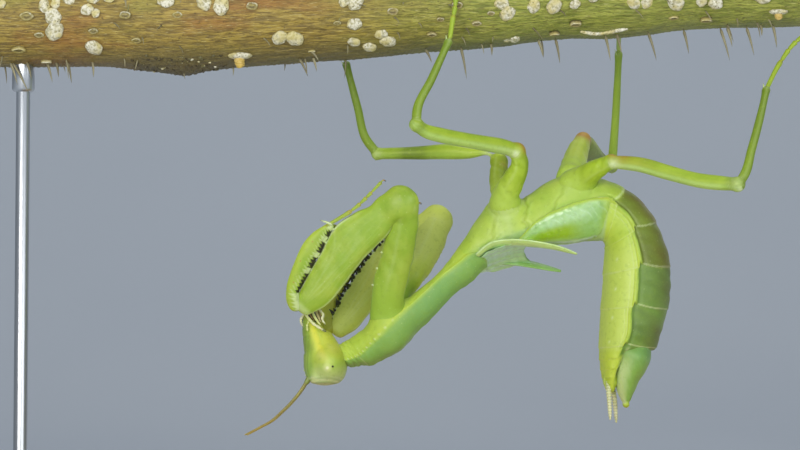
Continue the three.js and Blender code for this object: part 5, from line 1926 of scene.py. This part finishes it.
def make_bristles():
    """Stiff olive-grey hairs: those under the twig one by one, and a scatter over the rest."""
    bm = new_skin()
    uv = bm.loops.layers.uv.new("OFBake")
    draw = random.Random(17)
    line = Route(TWIG)
    hairs = []
    for x, z, tip_x, tip_z in BRISTLES:
        axis = line.point(twig_part(x))[0]
        drop = np.clip((axis[2] - z) / ROOT_DEPTH, -0.97, 0.97)
        y = -ROOT_DEPTH * math.sqrt(1 - drop ** 2)
        foot = np.array([x, y, axis[2] - drop * ROOT_DEPTH])
        hairs.append((foot, np.array([tip_x, y - 0.5, tip_z]), 0.19))
    for _ in range(LOOSE_HAIRS):
        part = draw.uniform(0.01, 0.99)
        turn = draw.uniform(0, TURN)
        if 0.15 < turn < 1.9:
            continue
        foot, normal, heading = on_limb(TWIG, TWIG_SIZES, TWIG_GUIDE, part, turn)
        lean = heading * draw.uniform(-0.2, 0.6)
        hairs.append((foot - normal * 0.3, foot + (normal + lean) * draw.uniform(0.8, 2.6), 0.11))
    for foot, tip, radius in hairs:
        before = set(bm.faces)
        spine(bm, foot, tip, radius, bow=np.array([0.05, 0, 0.1]), black_from=3, sides=5,
              marks={"brown": draw.uniform(0.1, 0.9)})
        around = math.atan2(foot[1], foot[2] - 58) / TURN + 0.5
        root = (foot[0] / BASE[0] + 0.5, around)
        for face in set(bm.faces) - before:
            for loop in face.loops:
                away = (Vector(loop.vert.co) - Vector(foot)).length / 3
                loop[uv].uv = (root[0] + 0.003 * away, root[1] + 0.003 * (loop.index % 2))
    bristle = Finish("twig_bristle")
    shade = bristle.noise(0.8)
    colour = bristle.mix(shade, "7d7554", "aaa482")
    colour = bristle.mix(bristle.mark("brown") * 0.7, colour, "544c30")
    piece("twig_bristles", bm, bristle.surface(colour, 0.6, shade, 0.02))


# ---- Stand ----

BASE = (106, 48, 4)
BASE_CORNER = 5
# The base's faces from this area on, in square metres, are flat.
BROAD_FACE = 60 * MM * MM
ROD_X = 46.5
ROD_RADIUS = 0.8
ROD_WELD = 1e-4
# The rods' cups end inside the twig, which is higher at its right end.
ROD_TOPS = {"left": 51.5, "right": 56.5}


def wood_finish():
    wood = Finish("base_beech")
    grain = wood.noise(1.4, 5, (16, 1, 4), 0.6)
    flecks = wood.noise(0.5, 3, (7, 1, 1))
    colour = wood.mix(grain.eased(0.32, 0.68), "c9a678", "e0c79c")
    colour = wood.mix(flecks.eased(0.58, 0.68) * 0.45, colour, "a88455")
    return wood.surface(colour, 0.4 + 0.15 * grain, grain + flecks * 0.5, 0.03, Coat_Weight=0.25,
                        Coat_Roughness=0.25)


def make_base():
    bm = new_skin()
    cube = bmesh.ops.create_cube(bm, size=1)["verts"]
    bmesh.ops.scale(bm, vec=BASE, verts=cube)
    bmesh.ops.translate(bm, vec=(0, 0, BASE[2] / 2), verts=cube)
    upright = [edge for edge in bm.edges if abs(edge.verts[0].co.z - edge.verts[1].co.z) > 1]
    bevel(bm, upright, BASE_CORNER, 10)
    rims = [edge for edge in bm.edges if abs(edge.verts[0].co.z - edge.verts[1].co.z) < 0.01]
    bevel(bm, rims, 0.5, 4)
    board = piece("base_board", bm, wood_finish(), ("stand_base",))
    # The broad faces are flat; only the rounded corners and rims are smooth.
    board.data.polygons.foreach_set("use_smooth", [face.area < BROAD_FACE for face in board.data.polygons])


def steel_finish():
    steel = Finish("rod_steel")
    brushed = steel.noise(0.12, 3, (1, 1, 40))
    colour = steel.mix(brushed, "a9acaf", "c9cccf")
    return steel.surface(colour, 0.24 + 0.14 * brushed, brushed, 0.004, Metallic=1)


def make_rods():
    finish = steel_finish()
    for name, x in (("left", -ROD_X), ("right", ROD_X)):
        top = ROD_TOPS[name]
        # Each is (height, radius): a collar at the foot, the rod, and a cup under the twig.
        profile = [(3.6, 0), (3.6, 1.9), (4.9, 1.9), (5.1, 1.7), (5.1, ROD_RADIUS), (top - 5.1, ROD_RADIUS),
                   (top - 5.1, 1.1), (top - 4.8, 1.3), (top, 1.3), (top, 0)]
        bm = new_skin()
        verts = [bm.verts.new((x + radius, 0, height)) for height, radius in profile]
        for first, second in zip(verts, verts[1:]):
            bm.edges.new((first, second))
        bmesh.ops.spin(bm, geom=bm.verts[:] + bm.edges[:], cent=(x, 0, 0), axis=(0, 0, 1), angle=TURN,
                       steps=48, use_merge=True)
        bmesh.ops.remove_doubles(bm, verts=bm.verts[:], dist=ROD_WELD)
        edges = [edge for edge in bm.edges if len(edge.link_faces) == 2 and edge.calc_face_angle(0) > 0.6]
        bevel(bm, edges, 0.07, 2)
        piece(f"rod_{name}_pin", bm, finish, (f"stand_rod_{name}",))


# ---- Stage ----

def make_stage():
    """A pale sweep: a floor that curves up into a backdrop, and soft lamps round it."""
    bm = bmesh.new()
    width, near, far, rise, bend = 1.6, -0.6, 0.75, 1.1, 0.25
    points = [(near, 0)]
    for step in range(13):
        turn = math.pi / 2 * step / 12
        points.append((far - bend + bend * math.sin(turn), bend - bend * math.cos(turn)))
    points.append((far, rise))
    row = [bm.verts.new((-width, y, z)) for y, z in points]
    edges = [bm.edges.new(pair) for pair in zip(row, row[1:])]
    swept = bmesh.ops.extrude_edge_only(bm, edges=edges)["geom"]
    moved = [part for part in swept if isinstance(part, bmesh.types.BMVert)]
    bmesh.ops.translate(bm, vec=(2 * width, 0, 0), verts=moved)
    bmesh.ops.recalc_face_normals(bm, faces=bm.faces[:])
    paper = Finish("stage_paper")
    cloud = paper.noise(120, 2)
    colour = paper.mix(cloud, "c9d0d8", "d2d8de")
    smooth_object("stage_sweep", bm, paper.surface(colour, 0.9))


# Each lamp: (name, place in metres, size in metres, watts, colour).
LAMPS = [
    ("key", (-0.17, -0.47, 0.05), 0.3, 2.35, (1.0, 0.98, 0.95)),
    ("fill", (0.3, -0.45, 0.16), 0.4, 1.2, (0.96, 0.98, 1.0)),
    ("top", (0.08, 0.05, 0.5), 0.35, 1.1, (1.0, 1.0, 1.0)),
    ("rim", (0.25, 0.4, 0.2), 0.25, 0.12, (1.0, 1.0, 1.0)),
]
LAMP_TARGET = Vector((0.003, 0, 0.03))
WORLD_COLOUR = (0.75, 0.82, 0.92, 1)
WORLD_STRENGTH = 0.34


def make_light():
    for name, place, size, watts, colour in LAMPS:
        lamp = bpy.data.lights.new(name, "AREA")
        lamp.size = size
        lamp.energy = watts
        lamp.color = colour
        made = bpy.data.objects.new(name, lamp)
        made.location = place
        made.rotation_euler = (LAMP_TARGET - Vector(place)).to_track_quat("-Z", "Y").to_euler()
        bpy.context.scene.collection.objects.link(made)
    bpy.context.scene.view_settings.view_transform = "Standard"
    world = bpy.data.worlds.new("studio")
    world.use_nodes = True
    world.node_tree.nodes["Background"].inputs["Color"].default_value = WORLD_COLOUR
    world.node_tree.nodes["Background"].inputs["Strength"].default_value = WORLD_STRENGTH
    bpy.context.scene.world = world


set_up_camera()
make_trunk()
make_notum()
make_tail_plates()
make_cerci()
make_head()
make_eyes()
make_feelers()
make_mouth()
make_palps()
make_legs()
make_wing_pads()
make_twig()
make_base()
make_rods()
make_stage()
make_light()
